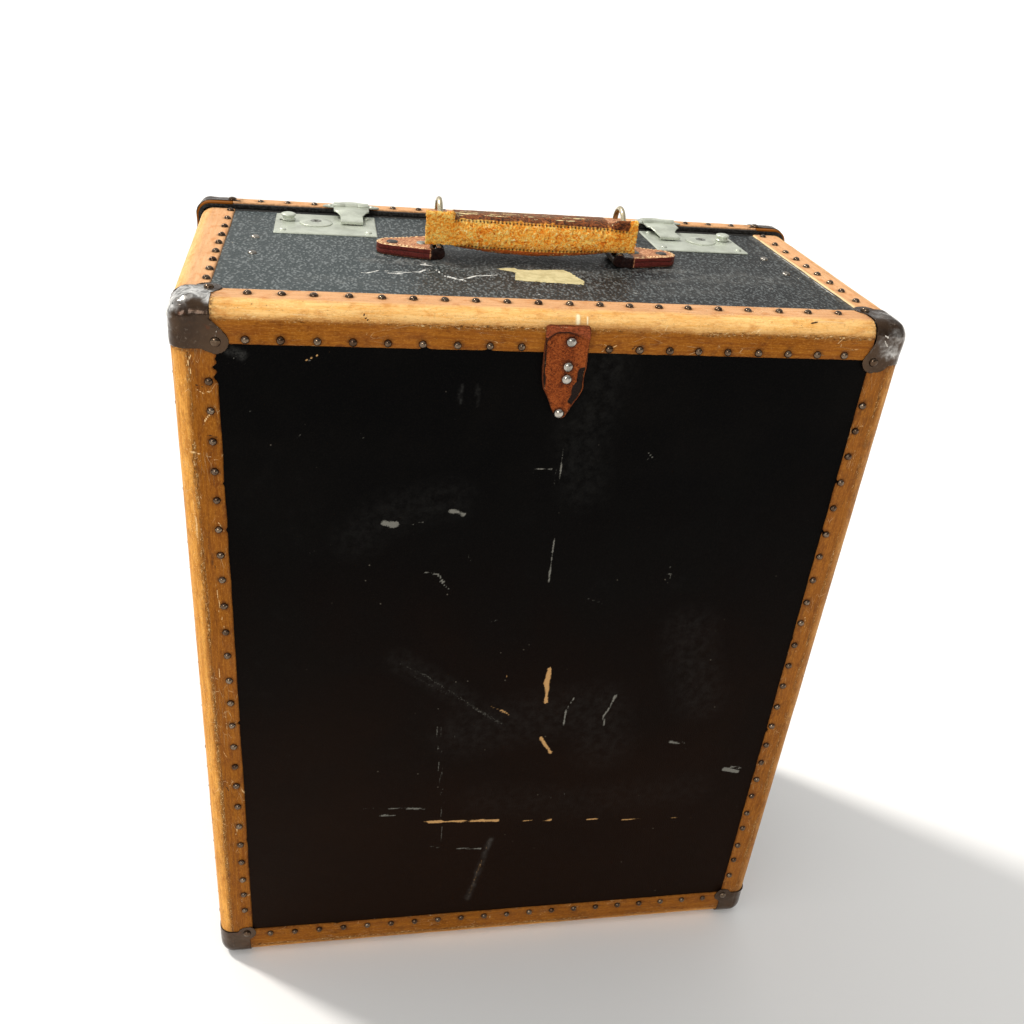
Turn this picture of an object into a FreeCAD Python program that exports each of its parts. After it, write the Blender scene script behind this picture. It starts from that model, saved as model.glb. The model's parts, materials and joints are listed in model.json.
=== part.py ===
import FreeCAD, Part
import Sketcher
import math
import os
import re

# A small upright wardrobe case: plywood body and overlapping lid covered in
# leathercloth, bound along every edge with fibre strip, with pressed corner
# caps, two button locks with hasps, a ring-hung handle and a garment rail.
# Frame: X to the right, Y from the front face to the lid, Z up.
# The origin is on the ground below the middle of the case. Millimetres.

V = FreeCAD.Vector
doc = FreeCAD.newDocument("WardrobeCase")
sheet = doc.addObject("Spreadsheet::Sheet", "Sizes")
aliases = []


def cell(alias, value):
    aliases.append(alias)
    n = len(aliases)
    sheet.set("A%d" % n, alias)
    sheet.set("B%d" % n, repr(float(value)))
    sheet.setAlias("B%d" % n, alias)


for alias, value in [
    ("half_width", 229.6),        # over the body's binding, at the rim
    ("front_half", 225.4),        # the same at the front face: the sides taper
    ("wall_in", 219.4),           # inner faces of the side walls
    ("front_y", -121.5),          # outer face of the front binding
    ("rim_y", 93.5),              # rear end of the body's walls and binding
    ("base_rim_y", 96.2),         # rear end of the bottom wall, at the hinges
    ("neck_y", 107.0),            # rear end of the neck that enters the lid
    ("neck_start", 78.0),
    ("bind_low", 1.6),            # underside of the binding
    ("bind_top", 555.4),          # top of the body's binding
    ("bind_skin", 1.2),           # fibre binding
    ("ply", 5.0),                 # plywood wall with its covering
    ("edge_round", 9.0),          # rounding of the covered plywood edges
    ("cap_proud", 0.7),           # corner caps outside the binding
    ("cap_side", 28.0),           # straight part of a cap
    ("cap_lobe_in", 25.3),        # lobe centre from the case's corner
    ("cap_lobe", 7.6),            # lobe radius
    ("lobe_shift_x", 4.6),        # the upper left cap's front lobe sits askew
    ("lobe_shift_z", 2.4),
    ("bind_front_left", 29.9),
    ("bind_front_right", 26.9),
    ("bind_front_top", 24.6),
    ("bind_front_low", 28.0),
    ("bind_face_left", 25.1),
    ("bind_face_right", 28.1),
    ("bind_face_front", 26.8),
    ("bind_side", 27.0),
    ("lid_rim_y", 99.0),
    ("lid_base_rim_y", 100.8),
    ("lid_back_y", 125.5),        # outer face of the back binding
    ("lid_half", 232.9),          # over the lid's binding
    ("lid_top", 558.3),
    ("lid_wall", 2.5),
    ("lid_board", 6.0),           # back board of the lid
    ("lid_round", 12.5),          # rounding of its upper back edge
    ("lid_floor", 3.5),
    ("lid_bind_depth", 23.4),
    ("hinge_y", 98.5),
    ("hinge_z", 1.75),
    ("hinge_barrel", 1.75),
    ("hinge_pin", 0.9),
    ("running_gap", 0.05),
    ("hinge_span", 150.0),
    ("hinge_len", 44.0),
    ("nail_dia", 5.0),
    ("nail_high", 1.4),
    ("rivet_dia", 6.0),
    ("rivet_high", 1.8),
    ("lock_x", 139.0),
    ("lock_y", 61.0),
    ("lock_long", 71.5),
    ("lock_wide", 53.0),
    ("lock_sheet", 1.2),
    ("key_x", 146.0),
    ("key_y", 63.0),
    ("boss_rad", 11.6),
    ("plug_rad", 3.9),
    ("button_x", 165.5),
    ("button_y", 68.5),
    ("button_rad", 5.2),
    ("button_high", 4.8),
    ("button_travel", 4.0),
    ("hasp_x", 120.5),
    ("hasp_axis_y", 96.0),
    ("hasp_axis_z", 561.0),
    ("hasp_barrel", 2.2),
    ("hasp_pin", 1.0),
    ("hasp_wide", 25.6),
    ("tongue_wide", 16.0),
    ("handle_mid", -2.3),
    ("ring_half", 62.5),
    ("ring_y", -0.5),
    ("ring_wire", 1.8),
    ("ring_arc", 11.0),           # centreline half-width of a ring
    ("ring_low", 558.5),          # centre of the bar in the leather roll
    ("ring_top", 590.6),          # centre of the wire at the crown
    ("roll_rad", 4.3),
    ("roll_bore", 2.15),
    ("chape_long", 42.5),
    ("chape_wide", 34.0),
    ("chape_off", 1.5),           # the chapes reach further behind the rings
    ("chape_shift", 1.8),         # and both sit a little to the right
    ("chape_high", 7.0),
    ("grip_long", 143.4),
    ("grip_deep", 32.0),
    ("grip_top", 583.4),
    ("grip_end_low", 565.0),
    ("grip_mid_low", 559.2),
    ("grip_skin", 2.5),
    ("sleeve_long", 26.0),        # square ends of the grip round the rings
    ("sleeve_top", 586.1),
    ("tab_x", 2.5),
    ("tab_wide", 27.0),
    ("tab_top", 548.6),
    ("tab_low", 489.2),
    ("tab_skin", 3.0),
    ("rail_rad", 4.8),
    ("rail_y", 3.4),
    ("rail_z", 523.0),
    ("bracket_left", -185.6),
    ("bracket_right", 183.8),
]:
    cell(alias, value)
doc.recompute()


def val(name):
    return float(sheet.get(name))


def ex(text):
    return re.sub(r"[A-Za-z_]+", lambda m: "Sizes." + m.group(0) if m.group(0) in aliases else m.group(0), str(text))


def num(text):
    """The value now of an expression in the sheet's aliases."""
    words = re.sub(r"[A-Za-z_]+", lambda m: "%.9f" % val(m.group(0)), str(text))
    total, tokens = 0.0, re.findall(r"\d+\.?\d*|[-+*/()]", words)
    pos = [0]

    def factor():
        t = tokens[pos[0]]
        pos[0] += 1
        if t == "-":
            return -factor()
        if t == "+":
            return factor()
        if t == "(":
            v = summed()
            pos[0] += 1
            return v
        return float(t)

    def product():
        v = factor()
        while pos[0] < len(tokens) and tokens[pos[0]] in "*/":
            op = tokens[pos[0]]
            pos[0] += 1
            w = factor()
            v = v * w if op == "*" else v / w
        return v

    def summed():
        v = product()
        while pos[0] < len(tokens) and tokens[pos[0]] in "+-":
            op = tokens[pos[0]]
            pos[0] += 1
            w = product()
            v = v + w if op == "+" else v - w
        return v

    total = summed()
    return total


def bind(obj, prop, text):
    obj.setExpression(prop, ex(text))


def box(name, x0, x1, y0, y1, z0, z1):
    o = doc.addObject("Part::Box", name)
    for prop, lo, hi in (("Length", x0, x1), ("Width", y0, y1), ("Height", z0, z1)):
        bind(o, prop, "(%s) - (%s)" % (hi, lo))
    for prop, lo in (("Placement.Base.x", x0), ("Placement.Base.y", y0), ("Placement.Base.z", z0)):
        bind(o, prop, lo)
    return o


def tapered(name, out, y0):
    """The body's block from y0 to 200, its sides "out" outside the binding."""
    o = doc.addObject("Part::Wedge", name)
    spread = "(half_width - front_half) / (rim_y - front_y)"
    bind(o, "Ymin", y0)
    bind(o, "Ymax", "200")
    low = "0" if out == "cap_proud" else "bind_low - (%s)" % out
    for prop, text in (("Zmin", low), ("Z2min", low), ("Zmax", "bind_top + (%s)" % out), ("Z2max", "bind_top + (%s)" % out)):
        bind(o, prop, text)
    bind(o, "Xmax", "front_half + (%s)" % out)
    bind(o, "Xmin", "-(front_half + (%s))" % out)
    bind(o, "X2max", "front_half + (%s) + (200 - front_y) * %s" % (out, spread))
    bind(o, "X2min", "-(front_half + (%s) + (200 - front_y) * %s)" % (out, spread))
    return o


TURN = {"X": FreeCAD.Rotation(V(0, 1, 0), 90), "Y": FreeCAD.Rotation(V(1, 0, 0), -90), "Z": FreeCAD.Rotation()}


def rod(name, rad, long, x, y, z, along="Z"):
    """A cylinder from its base point along +X, +Y or +Z."""
    o = doc.addObject("Part::Cylinder", name)
    o.Placement = FreeCAD.Placement(V(0, 0, 0), TURN[along])
    bind(o, "Radius", rad)
    bind(o, "Height", long)
    for prop, text in (("Placement.Base.x", x), ("Placement.Base.y", y), ("Placement.Base.z", z)):
        bind(o, prop, text)
    return o


def rounded(name, base, rad, edges, special=None, special_rad="0"):
    o = doc.addObject("Part::Fillet", name)
    o.Base = base
    o.Edges = [(i, num(special_rad if i == special else rad), num(special_rad if i == special else rad)) for i in edges]
    return o


def rounded_block(name, base, rad):
    """Rounds the front edges and the four long edges of a tapered block."""
    doc.recompute()
    y0 = min(v.Y for v in base.Shape.Vertexes)
    keep = []
    for i, e in enumerate(base.Shape.Edges):
        ys = [v.Y for v in e.Vertexes]
        if max(ys) - y0 < 1e-6 or max(ys) - min(ys) > 1:
            keep.append(i + 1)
    return rounded(name, base, rad, keep)


def fuse(name, *parts):
    o = doc.addObject("Part::MultiFuse", name)
    o.Shapes = list(parts)
    return o


def common(name, a, b):
    o = doc.addObject("Part::Common", name)
    o.Base, o.Tool = a, b
    return o


def cut(name, a, b):
    o = doc.addObject("Part::Cut", name)
    o.Base, o.Tool = a, b
    return o


def plane(body, role):
    return [f for f in body.Origin.OriginFeatures if f.Role == role][0]


def new_body(name, x=0, y=0, z=0):
    b = doc.addObject("PartDesign::Body", name)
    for prop, text in (("Placement.Base.x", x), ("Placement.Base.y", y), ("Placement.Base.z", z)):
        bind(b, prop, text)
    return b


def sketch(body, role, name):
    s = body.newObject("Sketcher::SketchObject", name)
    s.AttachmentSupport = [(plane(body, role), "")]
    s.MapMode = "FlatFace"
    return s


def rectangle(s, cx, cy, w, h):
    """A rectangle with its size and place bound to the sheet."""
    x, y, a, b = (num(t) for t in (cx, cy, w, h))
    p = [V(x - a / 2, y - b / 2, 0), V(x + a / 2, y - b / 2, 0), V(x + a / 2, y + b / 2, 0), V(x - a / 2, y + b / 2, 0)]
    g = [s.addGeometry(Part.LineSegment(p[i], p[(i + 1) % 4]), False) for i in range(4)]
    for i in range(4):
        s.addConstraint(Sketcher.Constraint("Coincident", g[i], 2, g[(i + 1) % 4], 1))
    s.addConstraint(Sketcher.Constraint("Horizontal", g[0]))
    s.addConstraint(Sketcher.Constraint("Horizontal", g[2]))
    s.addConstraint(Sketcher.Constraint("Vertical", g[1]))
    s.addConstraint(Sketcher.Constraint("Vertical", g[3]))
    c = s.addConstraint(Sketcher.Constraint("DistanceX", g[0], 1, g[0], 2, a))
    bind(s, "Constraints[%d]" % c, w)
    c = s.addConstraint(Sketcher.Constraint("DistanceY", g[1], 1, g[1], 2, b))
    bind(s, "Constraints[%d]" % c, h)
    c = s.addConstraint(Sketcher.Constraint("DistanceX", -1, 1, g[0], 1, x - a / 2))
    bind(s, "Constraints[%d]" % c, "(%s) - (%s) / 2" % (cx, w))
    c = s.addConstraint(Sketcher.Constraint("DistanceY", -1, 1, g[0], 1, y - b / 2))
    bind(s, "Constraints[%d]" % c, "(%s) - (%s) / 2" % (cy, h))


def circle(s, cx, cy, r):
    x, y, rad = num(cx), num(cy), num(r)
    g = s.addGeometry(Part.Circle(V(x, y, 0), V(0, 0, 1), rad), False)
    c = s.addConstraint(Sketcher.Constraint("Radius", g, rad))
    bind(s, "Constraints[%d]" % c, r)
    c = s.addConstraint(Sketcher.Constraint("DistanceX", -1, 1, g, 3, x))
    bind(s, "Constraints[%d]" % c, cx)
    c = s.addConstraint(Sketcher.Constraint("DistanceY", -1, 1, g, 3, y))
    bind(s, "Constraints[%d]" % c, cy)


def outline(s, points):
    """A closed outline; an item is a point, or (mid, end) for an arc."""
    start = None
    first = points[0]
    at = V(first[0], first[1], 0)
    geo = []
    for item in list(points[1:]) + [first]:
        if isinstance(item[0], tuple):
            mid, end = item
            g = Part.Arc(at, V(mid[0], mid[1], 0), V(end[0], end[1], 0))
            at = V(end[0], end[1], 0)
        else:
            g = Part.LineSegment(at, V(item[0], item[1], 0))
            at = V(item[0], item[1], 0)
        geo.append(s.addGeometry(g, False))
    return geo


def pad(body, s, name, long, mid=False, rev=False):
    p = body.newObject("PartDesign::Pad", name)
    p.Profile = s
    p.Midplane = mid
    p.Reversed = rev
    bind(p, "Length", long)
    return p


def pocket_through(body, s, name):
    p = body.newObject("PartDesign::Pocket", name)
    p.Profile = s
    p.Midplane = True
    p.Length = 200.0
    return p


nodes = {}


def node(name, obj):
    nodes[name] = obj
    return obj


# ---------------------------------------------------------------- outlines
BACK = (3, 7, 11, 12)
LONG = (2, 4, 6, 8)
probe = Part.makeBox(1, 1, 1)
TOP_BACK = [i for i in BACK if probe.Edges[i - 1].BoundBox.ZMin > 0.9 and probe.Edges[i - 1].BoundBox.YMin > 0.9][0]
panel_low = "bind_low + bind_skin"
panel_top = "bind_top - bind_skin"

body_cover = rounded_block("BodyCover", tapered("BodyCoverBlock", "-bind_skin", "front_y + bind_skin"), "edge_round")
body_bound = rounded_block("BodyBound", tapered("BodyBoundBlock", "0", "front_y"), "edge_round + bind_skin")
body_capped = rounded_block("BodyCapped", tapered("BodyCappedBlock", "cap_proud", "front_y - cap_proud"), "edge_round + bind_skin + cap_proud")
lid_cover = rounded("LidCover", box("LidCoverBox", "-lid_half + bind_skin", "lid_half - bind_skin", "-200", "lid_back_y - bind_skin", panel_low, "lid_top - bind_skin"), "edge_round", BACK + LONG, TOP_BACK, "lid_round")
lid_bound = rounded("LidBound", box("LidBoundBox", "-lid_half", "lid_half", "-200", "lid_back_y", "bind_low", "lid_top"), "edge_round + bind_skin", BACK + LONG, TOP_BACK, "lid_round + bind_skin")
lid_capped = rounded("LidCapped", box("LidCappedBox", "-lid_half - cap_proud", "lid_half + cap_proud", "-200", "lid_back_y + cap_proud", "0", "lid_top + cap_proud"), "edge_round + bind_skin + cap_proud", BACK + LONG, TOP_BACK, "lid_round + bind_skin + cap_proud")
lid_hollow = rounded("LidHollow", box("LidHollowBox", "-lid_half + bind_skin + lid_wall", "lid_half - bind_skin - lid_wall", "0", "lid_back_y - bind_skin - lid_board", panel_low + " + lid_floor", "lid_top - bind_skin - lid_wall"), "edge_round - lid_wall", LONG)

# ---------------------------------------------------------------- body walls
node("front_panel", common("FrontPanel", box("FrontBoard", "-half_width", "half_width", "front_y", "front_y + bind_skin + ply", "0", "600"), body_cover))

lock_mortices = fuse("LockMortices", *[box("Mortice%d" % i, "%s lock_x - %s" % (s, 33.9 if s == "-" else 31.2), "%s lock_x + %s" % (s, 31.2 if s == "-" else 33.9), "lock_y + 3.5 - 19.2", "lock_y + 3.5 + 19.2", "500", "600") for i, s in ((1, "-"), (2, "+"))])
top_board = box("TopBoard", "-half_width", "half_width", "front_y + bind_skin + ply", "rim_y", panel_top + " - ply", "600")
node("top_panel", cut("TopPanel", common("TopPanelShape", top_board, body_cover), lock_mortices))
node("bottom_panel", common("BottomPanel", box("BottomBoard", "-half_width", "half_width", "front_y + bind_skin + ply", "base_rim_y", "0", panel_low + " + ply"), body_cover))
node("left_panel", common("LeftPanel", box("LeftBoard", "-half_width - 5", "-wall_in", "front_y + bind_skin + ply", "rim_y", panel_low + " + ply", panel_top + " - ply"), body_cover))
node("right_panel", common("RightPanel", box("RightBoard", "wall_in", "half_width + 5", "front_y + bind_skin + ply", "rim_y", panel_low + " + ply", panel_top + " - ply"), body_cover))

# The neck: a stepped frame glued inside the walls, its outer step flush with
# them, which enters the lid.
inner_step = box("NeckInner", "-wall_in", "wall_in", "neck_start", "neck_y", panel_low + " + ply", panel_top + " - ply")
outer_step = common("NeckOuter", box("NeckOuterBox", "-half_width - 5", "half_width + 5", "rim_y", "neck_y", "16", "600"), body_cover)
neck_hole = box("NeckHole", "-wall_in + 4", "wall_in - 4", "0", "200", panel_low + " + ply + 4", panel_top + " - ply - 4")
node("body_neck", cut("BodyNeck", cut("NeckRing", fuse("NeckSteps", inner_step, outer_step), neck_hole), lock_mortices))

# Cloth lining of the body, one folded sheet, open to the neck.
lining_out = box("LiningOut", "-wall_in", "wall_in", "front_y + bind_skin + ply", "neck_start", panel_low + " + ply", panel_top + " - ply")
lining_in = box("LiningIn", "-wall_in + 0.6", "wall_in - 0.6", "front_y + bind_skin + ply + 0.6", "200", panel_low + " + ply + 0.6", panel_top + " - ply - 0.6")
lining = cut("LiningFold", lining_out, lining_in)
node("body_lining", cut("BodyLining", lining, lock_mortices))

# ---------------------------------------------------------------- body binding
body_strip = cut("BodyStrip", body_bound, body_cover)


def binding(name, x0, x1, y0, y1, z0, z1, strip):
    node(name, common("".join(w.title() for w in name.split("_")), box("Region_" + name, x0, x1, y0, y1, z0, z1), strip))


face_end = "front_y + bind_face_front"
binding("front_binding_top", "-half_width + bind_face_left + 0.1", "half_width - bind_face_right - 0.1", "-300", face_end, "bind_top - bind_front_top", "700", body_strip)
binding("front_binding_bottom", "-half_width + bind_side + 0.1", "half_width - bind_side - 0.1", "-300", face_end, "-50", "bind_low + bind_front_low", body_strip)
binding("front_binding_left", "-300", "-half_width + bind_front_left", "-300", "front_y + bind_side", "bind_low + bind_front_low", "bind_top - 26.5", body_strip)
binding("front_binding_right", "half_width - bind_front_right", "300", "-300", "front_y + bind_side", "bind_low + bind_front_low", "bind_top - 26.5", body_strip)
for side, x0, x1, u0, u1 in (("left", "-300", "-half_width + bind_face_left", "-300", "-half_width + bind_side"), ("right", "half_width - bind_face_right", "300", "half_width - bind_side", "300")):
    binding("top_binding_" + side, x0, x1, "front_y + 24.5", "rim_y", "bind_top - bind_side + 0.7", "700", body_strip)
    binding("bottom_binding_" + side, u0, u1, "front_y + 24.5", "rim_y", "-50", "bind_low + bind_side - 1.2", body_strip)


# ---------------------------------------------------------------- corner caps
def cap_tools(tag, half, y_face, y_dir, low, top):
    """Square of 28 mm with a round lobe on each face, at four corners."""
    tools = []
    y_in = "%s + (%s)" % (y_face, y_dir)
    for i, (sx, sz) in enumerate(((-1, 1), (1, 1), (-1, -1), (1, -1))):
        cx = "%s%s" % ("-" if sx < 0 else "", half)
        cz = top if sz > 0 else low
        xs = sorted((num("%s + %d * 5" % (cx, sx)), num("%s - %d * cap_side" % (cx, sx))))
        zs = sorted((num("%s + %d * 5" % (cz, sz)), num("%s - %d * cap_side" % (cz, sz))))
        yd = 1 if num(y_dir) > 0 else -1
        ys = sorted((num("%s - %d * 5" % (y_face, yd)), num("%s + %d * cap_side" % (y_face, yd))))
        t = "%s%d" % (tag, i)
        tools.append(box("Cap" + t, xs[0], xs[1], ys[0], ys[1], zs[0], zs[1]))
        lx = "%s - %d * cap_lobe_in" % (cx, sx)
        lz = "%s - %d * cap_lobe_in" % (cz, sz)
        fx, fz = (lx + " + lobe_shift_x", lz + " + lobe_shift_z") if t == "B0" else (lx, lz)
        ly = "%s + %d * cap_lobe_in" % (y_face, yd)
        deep = "8"
        tools.append(rod("LobeFace" + t, "cap_lobe", deep, fx, "%s - %d" % (y_face, 5 if yd > 0 else 3), fz, "Y"))
        tools.append(rod("LobeSide" + t, "cap_lobe", "14", "%s - 5" % cx if sx < 0 else "%s - 9" % cx, ly, lz, "X"))
        tools.append(rod("LobeLevel" + t, "cap_lobe", deep, lx, ly, "%s - 3" % cz if sz > 0 else "%s - 5" % cz, "Z"))
    return fuse("CapTools" + tag, *tools)


node("body_corner_caps", common("BodyCaps", cut("BodyCapShell", body_capped, body_bound), cap_tools("B", "half_width", "front_y", "1", "bind_low", "bind_top")))


# ---------------------------------------------------------------- nails, rivets
def dome(dia, high, at, normal):
    rad = (dia * dia / 4 + high * high) / (2 * high)
    lat = math.degrees(math.asin((rad - high) / rad))
    d = Part.makeSphere(rad, V(0, 0, high - rad), V(0, 0, 1), lat, 90, 360)
    d.Placement = FreeCAD.Placement(V(*at), FreeCAD.Rotation(V(0, 0, 1), V(*normal)))
    return d


def domes(name, label, dia, high, spots):
    o = doc.addObject("Part::Feature", name)
    o.Shape = Part.makeCompound([dome(val(dia), val(high), at, n) for at, n in spots])
    return node(label, o)


def even(a, b, n):
    return [a + (b - a) * i / (n - 1) for i in range(n)]


fy, bt, bl = val("front_y"), val("bind_top"), val("bind_low")


def side_at(y):
    """Half-width over the binding at a given y."""
    return val("front_half") + (val("half_width") - val("front_half")) * (y - fy) / (val("rim_y") - fy)


slope = (side_at(100) - side_at(0)) / 100
left_z = [508.2, 489.8, 469.9, 449.9, 430.0, 409.1, 390.2, 371.5, 351.0, 329.9, 310.3, 288.9, 269.1, 248.6, 228.7, 209.6, 190.6, 169.6, 149.0, 129.2, 110.1, 90.3, 73.1, 54.9]
right_z = [499.6, 481.4, 462.5, 442.6, 422.5, 401.3, 382.8, 362.5, 343.1, 324.5, 303.9, 284.3, 264.6, 243.7, 223.9, 204.0, 185.2, 166.4, 147.7, 127.8, 110.0, 89.3, 71.4, 51.9]
top_x = [-183.5, -164.0, -143.5, -123.4, -103.4, -83.2, -62.7, -43.5, -24.5, 29.3, 48.4, 67.7, 86.3, 105.3, 125.5, 145.2, 165.0, 183.3]
level_x = [-182.5, -163.4, -145.4, -125.4, -106.5, -88.2, -69.6, -51.2, -32.3, -13.3, 6.0, 24.9, 43.6, 62.4, 81.2, 101.0, 120.7, 141.5, 161.1, 181.8]
level_left_y = [88.5, 64.0, 41.5, 18.5, -1.0, -21.0, -40.0, -59.5, -78.0]
level_right_y = [88.0, 63.0, 42.0, 22.0, 3.5, -15.5, -36.0, -54.5, -76.0]
spots = []
spots += [((-204.8, fy, z), (0, -1, 0)) for z in left_z] + [((205.6, fy, z), (0, -1, 0)) for z in right_z]
spots += [((x, fy, bt - 21.4), (0, -1, 0)) for x in top_x] + [((x, fy, bl + 23.0), (0, -1, 0)) for x in even(-186, 186, 20)]
spots += [((x, fy + 17.5, bt), (0, 0, 1)) for x in level_x]
spots += [((-207.6, y, bt), (0, 0, 1)) for y in level_left_y] + [((208.0, y, bt), (0, 0, 1)) for y in level_right_y]
for sx in (-1, 1):
    spots += [((sx * side_at(fy + 22.0), fy + 22.0, z), (sx, -slope, 0)) for z in even(53, 505, 24)]
    spots += [((sx * side_at(y), y, z), (sx, -slope, 0)) for y in even(-76, 88, 9) for z in (bl + 21.5, bt - 22.0)]
    spots += [((sx * 207.0, y, bl), (0, 0, -1)) for y in even(-76, 88, 9)]
spots += [((x, fy + 21.0, bl), (0, 0, -1)) for x in even(-186, 186, 20)]
domes("BodyNails", "body_binding_nails", "nail_dia", "nail_high", spots)

lobe, hw = val("cap_lobe_in"), val("half_width")
cp = val("cap_proud")
spots = []
for sx in (-1, 1):
    for cz, sz in ((bt, 1), (bl, -1)):
        ax, az = (val("lobe_shift_x"), val("lobe_shift_z")) if sx < 0 < sz else (0, 0)
        spots.append(((sx * (hw - lobe) + ax, fy - cp, cz - sz * lobe + az), (0, -1, 0)))
        spots.append(((sx * (side_at(fy + lobe) + cp + 0.02), fy + lobe, cz - sz * lobe), (sx, -slope, 0)))
    spots.append(((sx * (hw - lobe), fy + lobe, bt + cp), (0, 0, 1)))
domes("BodyCapRivets", "body_cap_rivets", "rivet_dia", "rivet_high", spots)

pt = bt - val("bind_skin")
domes("RailRivets", "rail_bracket_rivets", "rivet_dia", "rivet_high", [((-186.0, 22.0, pt), (0, 0, 1)), ((-185.4, -17.2, pt), (0, 0, 1)), ((183.0, 23.6, pt), (0, 0, 1)), ((184.6, -14.2, pt), (0, 0, 1))])

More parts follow.
